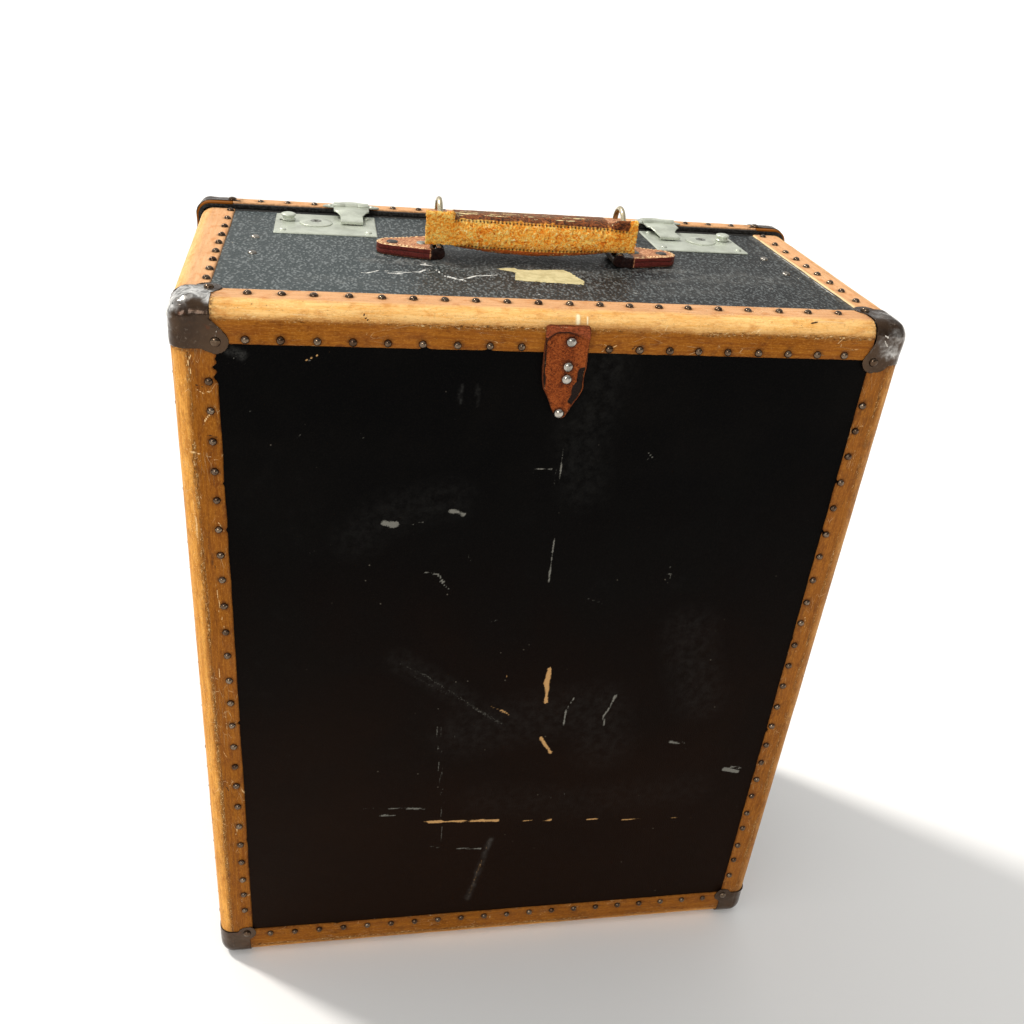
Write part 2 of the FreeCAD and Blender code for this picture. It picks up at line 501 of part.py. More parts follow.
# ---------------------------------------------------------------- locks
plate_top = panel_top + " + lock_sheet"
for side, s in (("left", "-"), ("right", "")):
    sg = -1 if s else 1
    b = new_body("LockPlate_" + side, "%slock_x" % s, "lock_y", panel_top)
    sk = sketch(b, "XY_Plane", "LockPlateSketch_" + side)
    rectangle(sk, "0", "0", "lock_long", "lock_wide")
    circle(sk, "%s(key_x - lock_x)" % s, "key_y - lock_y", "plug_rad + 0.4")
    bx = "%s(button_x + button_travel / 2 - lock_x)" % s
    rectangle(sk, bx, "button_y - lock_y", "button_travel + 4.6", "4.6")
    rectangle(sk, "%s(hasp_x - lock_x)" % s, "67.5 - lock_y", "7", "13")
    p = pad(b, sk, "LockPlatePad_" + side, "lock_sheet")
    doc.recompute()
    top_edges = []
    for i, e in enumerate(p.Shape.Edges):
        c = e.BoundBox
        if abs(c.ZMin - val("lock_sheet")) < 1e-6 and abs(c.ZMax - val("lock_sheet")) < 1e-6 and (abs(abs(c.XMin) - val("lock_long") / 2) < 1e-6 and c.XLength < 1e-6 or abs(abs(c.YMin) - val("lock_wide") / 2) < 1e-6 and c.YLength < 1e-6):
            top_edges.append("Edge%d" % (i + 1))
    ch = b.newObject("PartDesign::Chamfer", "LockPlateBevel_" + side)
    ch.Base = (p, top_edges)
    ch.Size = 0.7
    node("lock_plate_" + side, b)

    b = new_body("KeyBoss_" + side, "%skey_x" % s, "key_y", plate_top)
    sk = sketch(b, "XZ_Plane", "KeyBossSketch_" + side)
    r, o = val("plug_rad") + val("running_gap"), val("boss_rad")
    outline(sk, [(r, 0), (o, 0), (o, 0.5), (o - 0.8, 0.9), (o - 4.5, 1.4), (r, 1.6)])
    rv = b.newObject("PartDesign::Revolution", "KeyBossTurn_" + side)
    rv.Profile = sk
    rv.ReferenceAxis = (sk, ["V_Axis"])
    rv.Angle = 360.0
    node("key_boss_" + side, b)

    plug = rod("Plug_" + side, "plug_rad", "8.6", "%skey_x" % s, "key_y", plate_top + " - 6.9")
    slot = box("KeySlot_" + side, "%skey_x - 0.7" % s, "%skey_x + 0.7" % s, "key_y - 3.0", "key_y + 1.6", plate_top + " - 3", plate_top + " + 3")
    eye = rod("KeyEye_" + side, "1.5", "6", "%skey_x" % s, "key_y + 0.9", plate_top + " - 3")
    node("key_plug_" + side, cut("KeyPlug_" + side, plug, fuse("Keyhole_" + side, slot, eye)))

    far_l, far_r = (33.6, 31) if s else (31, 33.6)
    case = box("LockCaseOut_" + side, "%slock_x - %s" % (s, far_l), "%slock_x + %s" % (s, far_r), "lock_y + 3.5 - 19", "lock_y + 3.5 + 19", panel_top + " - 14", panel_top)
    hollow = box("LockCaseIn_" + side, "%slock_x - %s" % (s, far_l - 1), "%slock_x + %s" % (s, far_r - 1), "lock_y + 3.5 - 18", "lock_y + 3.5 + 18", panel_top + " - 13", panel_top + " + 5")
    node("lock_case_" + side, cut("LockCase_" + side, case, hollow))

    # The sliding button, its shank and the bolt bar, in one riveted piece.
    knob = new_body("Knob_" + side, "%sbutton_x" % s, "button_y", plate_top + " + 0.3")
    sk = sketch(knob, "XZ_Plane", "KnobSketch_" + side)
    r, h = val("button_rad"), val("button_high")
    outline(sk, [(0, 0), (r - 0.5, 0), (r - 0.3, 0.6), (r - 1.0, 1.2), (r - 1.0, h - 2.4), (r, h - 1.7), ((r + 0.05, h - 1.0), (r - 0.5, h - 0.4)), (r - 1.6, h), (0, h)])
    rv = knob.newObject("PartDesign::Revolution", "KnobTurn_" + side)
    rv.Profile = sk
    rv.ReferenceAxis = (sk, ["V_Axis"])
    rv.Angle = 360.0
    shank = rod("Shank_" + side, "1.8", "8.6", "%sbutton_x" % s, "button_y", plate_top + " - 8.2")
    x_in, x_out = num("hasp_x + 2.5 + 0.9"), num("button_x + 1.8")
    lo, hi = sorted((sg * x_in, sg * x_out))
    bar = box("Bolt_" + side, lo, hi, "button_y", "button_y + 3.4", plate_top + " - 10.2", plate_top + " - 7.4")
    node("lock_button_" + side, fuse("LockButton_" + side, knob, shank, bar))

    # Hasp: stepped leaf, turned-down lip, catch and middle knuckle.
    b = new_body("HaspLeaf_" + side, "%shasp_x" % s, 0, 0)
    sk = sketch(b, "YZ_Plane", "HaspProfile_" + side)
    pl = num(plate_top)
    az, ay = val("hasp_axis_z"), val("hasp_axis_y")
    outline(sk, [(ay - 2.6, az - 1.5), (ay - 2.6, az - 0.3), (79.5, az - 0.3), (75.5, pl + 3.3), (61.3, pl + 3.3), (60.3, pl + 2.6), (60.3, pl + 0.7), (61.5, pl + 0.7), (61.5, pl + 2.1), (75.0, pl + 2.1), (79.0, az - 1.5)])
    pad(b, sk, "HaspLeafPad_" + side, "hasp_wide", mid=True)
    sk = sketch(b, "XY_Plane", "HaspTrim_" + side)
    w, t = val("hasp_wide") / 2, val("tongue_wide") / 2
    for g in (-1, 1):
        outline(sk, [(g * (w + 1), 50), (g * (w + 1), 82), (g * w, 82), (g * t, 75.5), (g * t, 50)])
    tr = b.newObject("PartDesign::Pocket", "HaspTrimCut_" + side)
    tr.Profile = sk
    tr.Midplane = True
    tr.Length = 1400.0
    arm = box("HaspArm_" + side, "%shasp_x - 4.6" % s, "%shasp_x + 4.6" % s, "hasp_axis_y - 2.7", "hasp_axis_y", "hasp_axis_z - 1.5", "hasp_axis_z - 0.3")
    knuckle = rod("HaspKnuckle_" + side, "hasp_barrel", "9.2", "%shasp_x - 4.6" % s, "hasp_axis_y", "hasp_axis_z", "X")
    bore = rod("HaspBore_" + side, "hasp_pin + running_gap", "20", "%shasp_x - 10" % s, "hasp_axis_y", "hasp_axis_z", "X")
    catch = box("Catch_" + side, "%shasp_x - 2.4" % s, "%shasp_x + 2.4" % s, "66.5", "70.5", plate_top + " - 7.4", plate_top + " + 2.2")
    node("hasp_" + side, cut("Hasp_" + side, fuse("HaspSolid_" + side, b, arm, knuckle, catch), bore))

    # Plate riveted to the lid, with the two outer knuckles and the pin.
    b = new_body("HaspPlate_" + side, "%shasp_x" % s, 0, "lid_top")
    sk = sketch(b, "XY_Plane", "HaspPlateSketch_" + side)
    outline(sk, [(-13, 98.6), (13, 98.6), (21, 101.2), (19.5, 104.0), (11.5, 110.0), ((0, 116.5), (-11.5, 110.0)), (-19.5, 104.0), (-21, 101.2)])
    pad(b, sk, "HaspPlatePad_" + side, "1.0")
    parts = [b]
    for i, off in ((1, -12.8), (2, 4.8)):
        parts.append(rod("PlateKnuckle%d_%s" % (i, side), "hasp_barrel", "8", "%shasp_x + %s" % (s, off), "hasp_axis_y", "hasp_axis_z", "X"))
        parts.append(box("PlateWeb%d_%s" % (i, side), "%shasp_x + %s" % (s, off), "%shasp_x + %s + 8" % (s, off), "hasp_axis_y", "98.8", "hasp_axis_z - 2.2", "hasp_axis_z - 1.2"))
    parts.append(rod("HaspPin_" + side, "hasp_pin", "26.4", "%shasp_x - 13.2" % s, "hasp_axis_y", "hasp_axis_z", "X"))
    heads = doc.addObject("Part::Feature", "HaspRivets_" + side)
    heads.Shape = Part.makeCompound([dome(3.4, 0.9, (sg * val("hasp_x") + dx, y, val("lid_top") + 1.0), (0, 0, 1)) for dx, y in ((-15.5, 102.4), (15.5, 102.4), (0.0, 109.5))])
    parts.append(heads)
    node("hasp_plate_" + side, fuse("HaspPlateSolid_" + side, *parts))

pz = num(plate_top)
spots = []
for sx in (-1, 1):
    for dx in (-29.5, 29.5):
        for dy in (-20.5, 20.5):
            spots.append(((sx * val("lock_x") + dx, val("lock_y") + dy, pz), (0, 0, 1)))
domes("LockRivets", "lock_plate_rivets", "nail_dia", "nail_high", spots)

# ---------------------------------------------------------------- handle
for side, s in (("left", -1), ("right", 1)):
    rx = "handle_mid + %d * ring_half" % s
    # Ring of round wire: straight bar in the roll, two legs, round crown.
    a, z0, z1 = val("ring_arc"), val("ring_low"), val("ring_top")
    x, y = num(rx), val("ring_y")
    k = 4.0
    q = k * (1 - math.sqrt(0.5))
    w = Part.Wire([
        Part.LineSegment(V(0, -a + k, z0), V(0, a - k, z0)).toShape(),
        Part.Arc(V(0, a - k, z0), V(0, a - q, z0 + q), V(0, a, z0 + k)).toShape(),
        Part.LineSegment(V(0, a, z0 + k), V(0, a, z1 - a)).toShape(),
        Part.Arc(V(0, a, z1 - a), V(0, 0, z1), V(0, -a, z1 - a)).toShape(),
        Part.LineSegment(V(0, -a, z1 - a), V(0, -a, z0 + k)).toShape(),
        Part.Arc(V(0, -a, z0 + k), V(0, -a + q, z0 + q), V(0, -a + k, z0)).toShape(),
    ])
    prof = Part.Wire([Part.Circle(V(0, 0, z0), V(0, 1, 0), val("ring_wire")).toShape()])
    ring = doc.addObject("Part::Feature", "Ring_" + side)
    ring.Shape = w.makePipeShell([prof], True, False)
    ring.Placement = FreeCAD.Placement(V(x, y, 0), FreeCAD.Rotation())
    node("handle_ring_" + side, ring)

    # Chape: a leather pad that narrows to a blunt tip, and the roll at its
    # inner end that holds the ring's bar.
    b = new_body("ChapePad_" + side, rx + " + chape_shift", "ring_y + chape_off", panel_top)
    sk = sketch(b, "XY_Plane", "ChapeSketch_" + side)
    L, W = val("chape_long"), val("chape_wide") / 2
    pts = [(0, -W + 1), (6, -W), (16, -W + 2.0), (L - 6, -8.5), ((L, 0), (L - 6, 8.5)), (16, W - 2.0), (6, W), (0, W - 1)]
    pts = [((s * p[0][0], p[0][1]), (s * p[1][0], p[1][1])) if isinstance(p[0], tuple) else (s * p[0], p[1]) for p in pts]
    outline(sk, pts)
    pad(b, sk, "ChapePadPad_" + side, "chape_high")
    roll = rod("Roll_" + side, "roll_rad", "29", rx, "ring_y - 14.5", "ring_low", "Y")
    bore = rod("RollBore_" + side, "roll_bore", "2 * ring_arc + 4.2", rx, "ring_y - ring_arc - 2.1", "ring_low", "Y")
    slits = [box("Slit%d_%s" % (i, side), rx + " - 3.6", rx + " + 3.6", "ring_y + %d * ring_arc - 6.1" % g if g > 0 else "ring_y - ring_arc - 2.1", "ring_y + ring_arc + 2.1" if g > 0 else "ring_y - ring_arc + 6.1", "ring_low - 0.2", "ring_low + 8") for i, g in ((1, -1), (2, 1))]
    slits += [box("Scoop%d_%s" % (i, side), rx + " - roll_bore", rx + " + roll_bore", "ring_y + ring_arc - 2.1" if g > 0 else "ring_y - ring_arc - 2.1", "ring_y + ring_arc + 2.1" if g > 0 else "ring_y - ring_arc + 2.1", "ring_low - roll_bore", "ring_low") for i, g in ((3, -1), (4, 1))]
    node("handle_chape_" + side, cut("Chape_" + side, fuse("ChapeSolid_" + side, b, roll), fuse("ChapeCuts_" + side, bore, *slits)))

# Grip: stitched leather, straight on top and bowed below, hollow at both
# ends where the rings stand inside it.
b = new_body("GripBody", "handle_mid", "ring_y", 0)
sk = sketch(b, "XZ_Plane", "GripSketch")
gl, gt, ge, gm = val("grip_long") / 2, val("grip_top"), val("grip_end_low"), val("grip_mid_low")
outline(sk, [(-gl, gt), (gl, gt), (gl, ge), (gl - 12, ge - 0.4), ((0, gm), (-gl + 12, ge - 0.4)), (-gl, ge)])
gp = pad(b, sk, "GripPad", "grip_deep", mid=True)
doc.recompute()
for tag, rad, upper in (("Top", 13.0, True), ("Low", 5.0, False)):
    last = b.Tip
    edges = []
    for i, e in enumerate(last.Shape.Edges):
        bb = e.BoundBox
        if bb.YLength < 1e-6 and bb.XLength > 5 and (bb.ZMin > gt - 1 if upper else bb.ZMax < ge + 1):
            edges.append("Edge%d" % (i + 1))
    fl = b.newObject("PartDesign::Fillet", "GripRound" + tag)
    fl.Base = (last, edges)
    fl.Radius = rad
    doc.recompute()
sleeves = []
for s in (-1, 1):
    sb = new_body("GripSleeve%d" % (s + 2), "handle_mid + %d * (grip_long / 2 - sleeve_long / 2)" % s, "ring_y", 0)
    sk = sketch(sb, "YZ_Plane", "GripSleeveSketch%d" % (s + 2))
    h, st = val("grip_deep") / 2, val("sleeve_top")
    outline(sk, [(-h, ge), (h, ge), (h, st - 6.7), (-h + 1.6, st), (-h, st - 1.5)])
    pad(sb, sk, "GripSleevePad%d" % (s + 2), "sleeve_long", mid=True)
    sleeves.append(sb)
cuts = []
for s in (-1, 1):
    rx = "handle_mid + %d * ring_half" % s
    inner, outer = num(rx) - s * 10.0, num(rx) + s * 14.0
    lo, hi = sorted((inner, outer))
    cuts.append(box("Pocket%d" % (s + 2), lo, hi, "ring_y - grip_deep / 2 + grip_skin", "ring_y + grip_deep / 2 - grip_skin", "540", "600"))
core_hole = box("CoreHole", "-100", "100", "ring_y - 6.5", "ring_y + 6.5", "571", "582.4")
node("handle_grip", cut("Grip", fuse("GripSolid", b, *sleeves), fuse("GripCuts", core_hole, *cuts)))
node("handle_core", box("GripCore", "handle_mid - ring_half - 6", "handle_mid + ring_half + 6", "ring_y - 6.5", "ring_y + 6.5", "571", "582.4"))

spots = []
top = num(panel_top + " + chape_high")
for s in (-1, 1):
    for dx in (12.0, 32.0):
        spots.append(((num("handle_mid + chape_shift") + s * (val("ring_half") + dx), val("ring_y"), top), (0, 0, 1)))
o = doc.addObject("Part::Feature", "ChapeRivets")
o.Shape = Part.makeCompound([dome(8.0, 0.9, at, n) for at, n in spots])
node("chape_rivets", o)

# ---------------------------------------------------------------- front tab
b = new_body("TabBody", "tab_x", "front_y - tab_skin", 0)
sk = sketch(b, "XZ_Plane", "TabSketch")
w, t, l = val("tab_wide") / 2, val("tab_top"), val("tab_low")
outline(sk, [(-w, t - 1), (-w + 2, t), (w - 1, t), (w, t - 2), (w, 524), (w - 1.5, 510), (3.5, l + 1), ((0.5, l), (-2.5, l + 1)), (-w + 0.5, 508)])
pad(b, sk, "TabPad", "tab_skin + bind_skin", rev=True)
under = box("TabUnder", "-100", "100", "front_y", "front_y + 20", "bind_top - bind_front_top", "600")
roll = rod("TabRoll", "2.3", "tab_wide - 3", "tab_x - tab_wide / 2 + 1.5", "front_y - 2.3", "tab_top - 1.6", "X")
node("front_tab", fuse("Tab", cut("TabTrim", b, under), roll))
ty = fy - val("tab_skin")
o = doc.addObject("Part::Feature", "TabRivets")
o.Shape = Part.makeCompound([dome(6.4, 2.0, (x, ty, z), (0, -1, 0)) for x, z in ((4.7, 539.1), (4.4, 523.4), (4.4, 515.3))] + [dome(5.4, 1.6, (2.0, ty, 492.8), (0, -1, 0))])
node("front_tab_rivets", o)

# ---------------------------------------------------------------- garment rail
inside = num(panel_top + " - ply - 0.6")
for side in ("left", "right"):
    bx = "bracket_" + side
    base = box("BracketBase_" + side, bx + " - 10", bx + " + 10", "rail_y - 28", "rail_y + 28", inside - 1.5, inside)
    b = new_body("BracketArm_" + side, bx, "rail_y", "rail_z")
    sk = sketch(b, "YZ_Plane", "BracketSketch_" + side)
    h = inside - val("rail_z") - 1.5
    r = val("rail_rad") + 0.3
    outline(sk, [(-r, h), (-r, 0), ((0, -r), (r, 0)), (r, 2), (r + 3, 2), (r + 3, -1), ((0, -r - 4), (-r - 4, -1)), (-r - 4, h - 6), (-r - 8, h), ])
    pad(b, sk, "BracketArmPad_" + side, "2", mid=True)
    node("rail_bracket_" + side, fuse("Bracket_" + side, base, b))
tube = cut("RailTube", rod("RailOut", "rail_rad", "bracket_right - bracket_left + 8", "bracket_left - 4", "rail_y", "rail_z", "X"), rod("RailBore", "rail_rad - 1", "bracket_right - bracket_left + 30", "bracket_left - 15", "rail_y", "rail_z", "X"))
stops = [rod("RailStop%d" % i, "rail_rad + 1.6", "2", x, "rail_y", "rail_z", "X") for i, x in ((1, "bracket_left - 5"), (2, "bracket_right + 3"))]
node("garment_rail", fuse("Rail", tube, *stops))

# ---------------------------------------------------------------- lid
ring_box = box("LidRingBox", "-300", "300", "lid_rim_y", "lid_back_y - bind_skin - lid_board", "-50", "700")
rim_relief = box("LidRimRelief", "-lid_half + 12", "lid_half - 12", "0", "lid_base_rim_y", "-50", "16")
node("lid_frame", cut("LidFrame", cut("LidWalls", common("LidRing", ring_box, lid_cover), lid_hollow), rim_relief))
node("lid_panel", common("LidPanel", box("LidBoard", "-300", "300", "lid_back_y - bind_skin - lid_board", "300", "-50", "700"), lid_cover))
node("lid_lining", common("LidLining", box("LidLiningBox", "-300", "300", "lid_back_y - bind_skin - lid_board - 0.6", "lid_back_y - bind_skin - lid_board", "-50", "700"), lid_hollow))

lid_strip = cut("LidStrip", lid_bound, lid_cover)
fl_y = "lid_back_y - lid_bind_depth"
binding("lid_binding_top", "-lid_half + bind_side + 0.1", "lid_half - bind_side - 0.1", fl_y, "300", "lid_top - bind_side", "700", lid_strip)
leaf_reliefs = fuse("LeafReliefs", *[box("LeafRelief%d" % (i + 2), "%d * hinge_span - hinge_len / 2 - 0.3" % i, "%d * hinge_span + hinge_len / 2 + 0.3" % i, "hinge_y", "hinge_y + 19.3", "-50", panel_low) for i in (-1, 0, 1)])
binding("lid_binding_bottom", "-lid_half + bind_side + 0.1", "lid_half - bind_side - 0.1", fl_y, "300", "-50", "bind_low + bind_side", cut("LidStripRelieved", lid_strip, leaf_reliefs))
binding("lid_binding_left", "-300", "-lid_half + bind_side", fl_y, "300", "bind_low + 26.1", "lid_top - 26.1", lid_strip)
binding("lid_binding_right", "lid_half - bind_side", "300", fl_y, "300", "bind_low + 26.1", "lid_top - 26.1", lid_strip)
corner_regions = []
for i, (sx, top_side) in enumerate(((-1, 1), (1, 1), (-1, 0), (1, 0))):
    x0, x1 = ("-300", "-lid_half + 26") if sx < 0 else ("lid_half - 26", "300")
    z0, z1 = ("lid_top - 26", "700") if top_side else ("-50", "bind_low + 26")
    corner_regions.append(box("LidCornerRegion%d" % i, x0, x1, "lid_rim_y" if top_side else "lid_base_rim_y", "lid_back_y - 18", z0, z1))
node("lid_corner_binding", common("LidCornerBinding", fuse("LidCornerRegions", *corner_regions), lid_strip))
node("lid_corner_caps", common("LidCaps", cut("LidCapShell", lid_capped, lid_bound), common("LidCapBounds", cap_tools("L", "lid_half", "lid_back_y", "-1", "bind_low", "lid_top"), box("LidCapLimit", "-300", "300", "lid_rim_y + 4.5", "300", "-50", "700"))))

lh, by, lt = val("lid_half"), val("lid_back_y"), val("lid_top")
spots = []
spots += [((x, by - 18.5, lt), (0, 0, 1)) for x in even(-187, 187, 20) if abs(abs(x) - 120.5) > 23]
spots += [((x, by - 18.5, bl), (0, 0, -1)) for x in even(-187, 187, 20) if min(abs(x), abs(abs(x) - 150)) > 25]
spots += [((x, by, z), (0, 1, 0)) for x in even(-187, 187, 20) for z in (bl + 22, lt - 22)]
for sx in (-1, 1):
    spots += [((sx * lh, by - 18.5, z), (sx, 0, 0)) for z in even(53, 507, 24)]
    spots += [((sx * (lh - 22), by, z), (0, 1, 0)) for z in even(53, 507, 24)]
domes("LidNails", "lid_binding_nails", "nail_dia", "nail_high", spots)

spots = []
for sx in (-1, 1):
    for cz, sz in ((lt, 1), (bl, -1)):
        spots.append(((sx * (lh - lobe), by + cp, cz - sz * lobe), (0, 1, 0)))
    spots.append(((sx * (lh - lobe), by - 18.5, lt + cp), (0, 0, 1)))
    for z in (lt - lobe, bl + lobe):
        spots.append(((sx * (lh + cp), by - 18.5, z), (sx, 0, 0)))
domes("LidCapRivets", "lid_cap_rivets", "rivet_dia", "rivet_high", spots)

# ---------------------------------------------------------------- hinges
body_leaves, lid_leaves, pins = [], [], []
hy, hz, hr, hp, rg = "hinge_y", "hinge_z", "hinge_barrel", "hinge_pin", "running_gap"
for i in (-1, 0, 1):
    cx = "%d * hinge_span" % i
    half = "hinge_len / 2"
    t = str(i + 2)
    leaf = box("LeafB" + t, cx + " - " + half, cx + " + " + half, "hinge_y - 20", "hinge_y - hinge_barrel - 0.2", panel_low + " - 1", panel_low)
    parts = [leaf]
    for j, off in ((1, "-hinge_len / 2"), (2, "hinge_len / 2 - 13")):
        x0 = "%s + %s" % (cx, off)
        parts.append(rod("KnuckleB%s%d" % (t, j), hr, "13", x0, hy, hz, "X"))
        parts.append(box("WebB%s%d" % (t, j), x0, x0 + " + 13", "hinge_y - hinge_barrel - 0.3", "hinge_y - 0.95", "hinge_z + 0.1", panel_low))
    body_leaves.append(cut("LeafBody" + t, fuse("LeafBodySolid" + t, *parts), rod("BoreB" + t, hp, "80", cx + " - 40", hy, hz, "X")))
    leaf = box("LeafL" + t, cx + " - " + half, cx + " + " + half, "hinge_y + hinge_barrel + 0.3", "hinge_y + 19", panel_low + " - 1", panel_low)
    x0 = "%s - hinge_len / 2 + 13.2" % cx
    parts = [leaf, rod("KnuckleL" + t, hr, "hinge_len - 26.4", x0, hy, hz, "X"), box("WebL" + t, x0, x0 + " + hinge_len - 26.4", "hinge_y + 1.0", "hinge_y + hinge_barrel + 0.4", "hinge_z + 0.1", panel_low)]
    lid_leaves.append(cut("LeafLid" + t, fuse("LeafLidSolid" + t, *parts), rod("BoreL" + t, hp + " + " + rg, "80", cx + " - 40", hy, hz, "X")))
    pins.append(rod("Pin" + t, hp, "hinge_len", cx + " - hinge_len / 2", hy, hz, "X"))


def group(name, label, parts):
    o = doc.addObject("Part::Compound", name)
    o.Links = parts
    return node(label, o)


group("HingeBody", "hinge_leaves_body", body_leaves)
group("HingeLid", "hinge_leaves_lid", lid_leaves)
group("HingePins", "hinge_pins", pins)

# ---------------------------------------------------------------- write
doc.recompute()
bad = [o.Label for o in doc.Objects if "Invalid" in o.State or "Error" in o.State]
if bad:
    raise SystemExit("failed features: %s" % bad)
for name, obj in nodes.items():
    obj.Label = name
    if obj.Label != name:
        raise SystemExit("label %s is taken" % name)
    shape = obj.Shape
    if shape.isNull() or not shape.isValid() or not shape.Solids:
        raise SystemExit("%s has no valid solid" % name)
os.makedirs("parts", exist_ok=True)
for name in os.listdir("parts"):
    if name.endswith(".step"):
        os.remove(os.path.join("parts", name))
for name, obj in nodes.items():
    obj.Shape.exportStep("parts/%s.step" % name)
    bb = obj.Shape.BoundBox
    print("%-24s %3d solids %10.0f mm3  x %.1f %.1f  y %.1f %.1f  z %.1f %.1f" % (name, len(obj.Shape.Solids), obj.Shape.Volume, bb.XMin, bb.XMax, bb.YMin, bb.YMax, bb.ZMin, bb.ZMax))
print(len(nodes), "nodes")
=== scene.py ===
import bmesh
import bpy
import json
import math
import numpy as np
from mathutils import Matrix, Vector

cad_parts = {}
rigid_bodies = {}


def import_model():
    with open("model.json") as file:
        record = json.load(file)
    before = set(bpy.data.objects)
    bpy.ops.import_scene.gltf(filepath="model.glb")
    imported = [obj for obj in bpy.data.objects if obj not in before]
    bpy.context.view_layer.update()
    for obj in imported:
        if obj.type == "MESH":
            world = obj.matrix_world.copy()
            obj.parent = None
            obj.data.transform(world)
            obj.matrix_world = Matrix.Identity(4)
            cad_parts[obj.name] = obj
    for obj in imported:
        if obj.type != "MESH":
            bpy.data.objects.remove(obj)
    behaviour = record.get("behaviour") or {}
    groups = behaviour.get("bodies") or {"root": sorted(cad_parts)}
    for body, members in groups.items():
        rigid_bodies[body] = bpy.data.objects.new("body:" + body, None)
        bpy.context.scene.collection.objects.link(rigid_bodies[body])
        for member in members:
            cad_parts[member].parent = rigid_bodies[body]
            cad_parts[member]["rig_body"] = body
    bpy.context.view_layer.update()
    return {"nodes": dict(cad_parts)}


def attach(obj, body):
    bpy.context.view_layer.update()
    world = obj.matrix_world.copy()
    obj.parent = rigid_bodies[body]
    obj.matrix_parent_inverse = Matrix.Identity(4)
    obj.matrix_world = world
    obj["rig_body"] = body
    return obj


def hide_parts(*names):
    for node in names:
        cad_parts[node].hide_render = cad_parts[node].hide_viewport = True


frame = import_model()
MM = 0.001
rng = np.random.default_rng(11)
scene = bpy.context.scene

# =============================================================== noise
def _lattice(ix, iy, iz, seed):
    n = (ix * 374761393 + iy * 668265263 + iz * 1440662683 + seed * 1274126177) & 0xFFFFFFFF
    n = ((n ^ (n >> 13)) * 1274126177) & 0xFFFFFFFF
    return ((n ^ (n >> 16)) & 0xFFFF) / 32767.5 - 1.0


def vnoise(p, seed=0):
    """Smooth value noise in -1..1 at points p (N, 3)."""
    p = np.asarray(p, float)
    i = np.floor(p).astype(np.int64)
    f = p - i
    f = f * f * f * (f * (f * 6 - 15) + 10)
    out = 0.0
    for dx in (0, 1):
        wx = f[..., 0] if dx else 1 - f[..., 0]
        for dy in (0, 1):
            wy = f[..., 1] if dy else 1 - f[..., 1]
            for dz in (0, 1):
                wz = f[..., 2] if dz else 1 - f[..., 2]
                out = out + wx * wy * wz * _lattice(i[..., 0] + dx, i[..., 1] + dy, i[..., 2] + dz, seed)
    return out


def fbm(p, octaves=4, gain=0.5, seed=0):
    p = np.asarray(p, float)
    out, amp, total = 0.0, 1.0, 0.0
    for o in range(octaves):
        out = out + amp * vnoise(p * (2.03 ** o) + 17.3 * o, seed + o)
        total += amp
        amp *= gain
    return out / total


def n1(s, scale, seed=0, octaves=3):
    """Noise along a line, in -1..1."""
    s = np.asarray(s, float)
    return fbm(np.stack([s / scale, np.full_like(s, 0.37 + seed * 3.1), np.full_like(s, 9.2)], -1), octaves, 0.5, seed)


def smooth(a, b, x):
    t = np.clip((np.asarray(x, float) - a) / (b - a), 0, 1)
    return t * t * (3 - 2 * t)


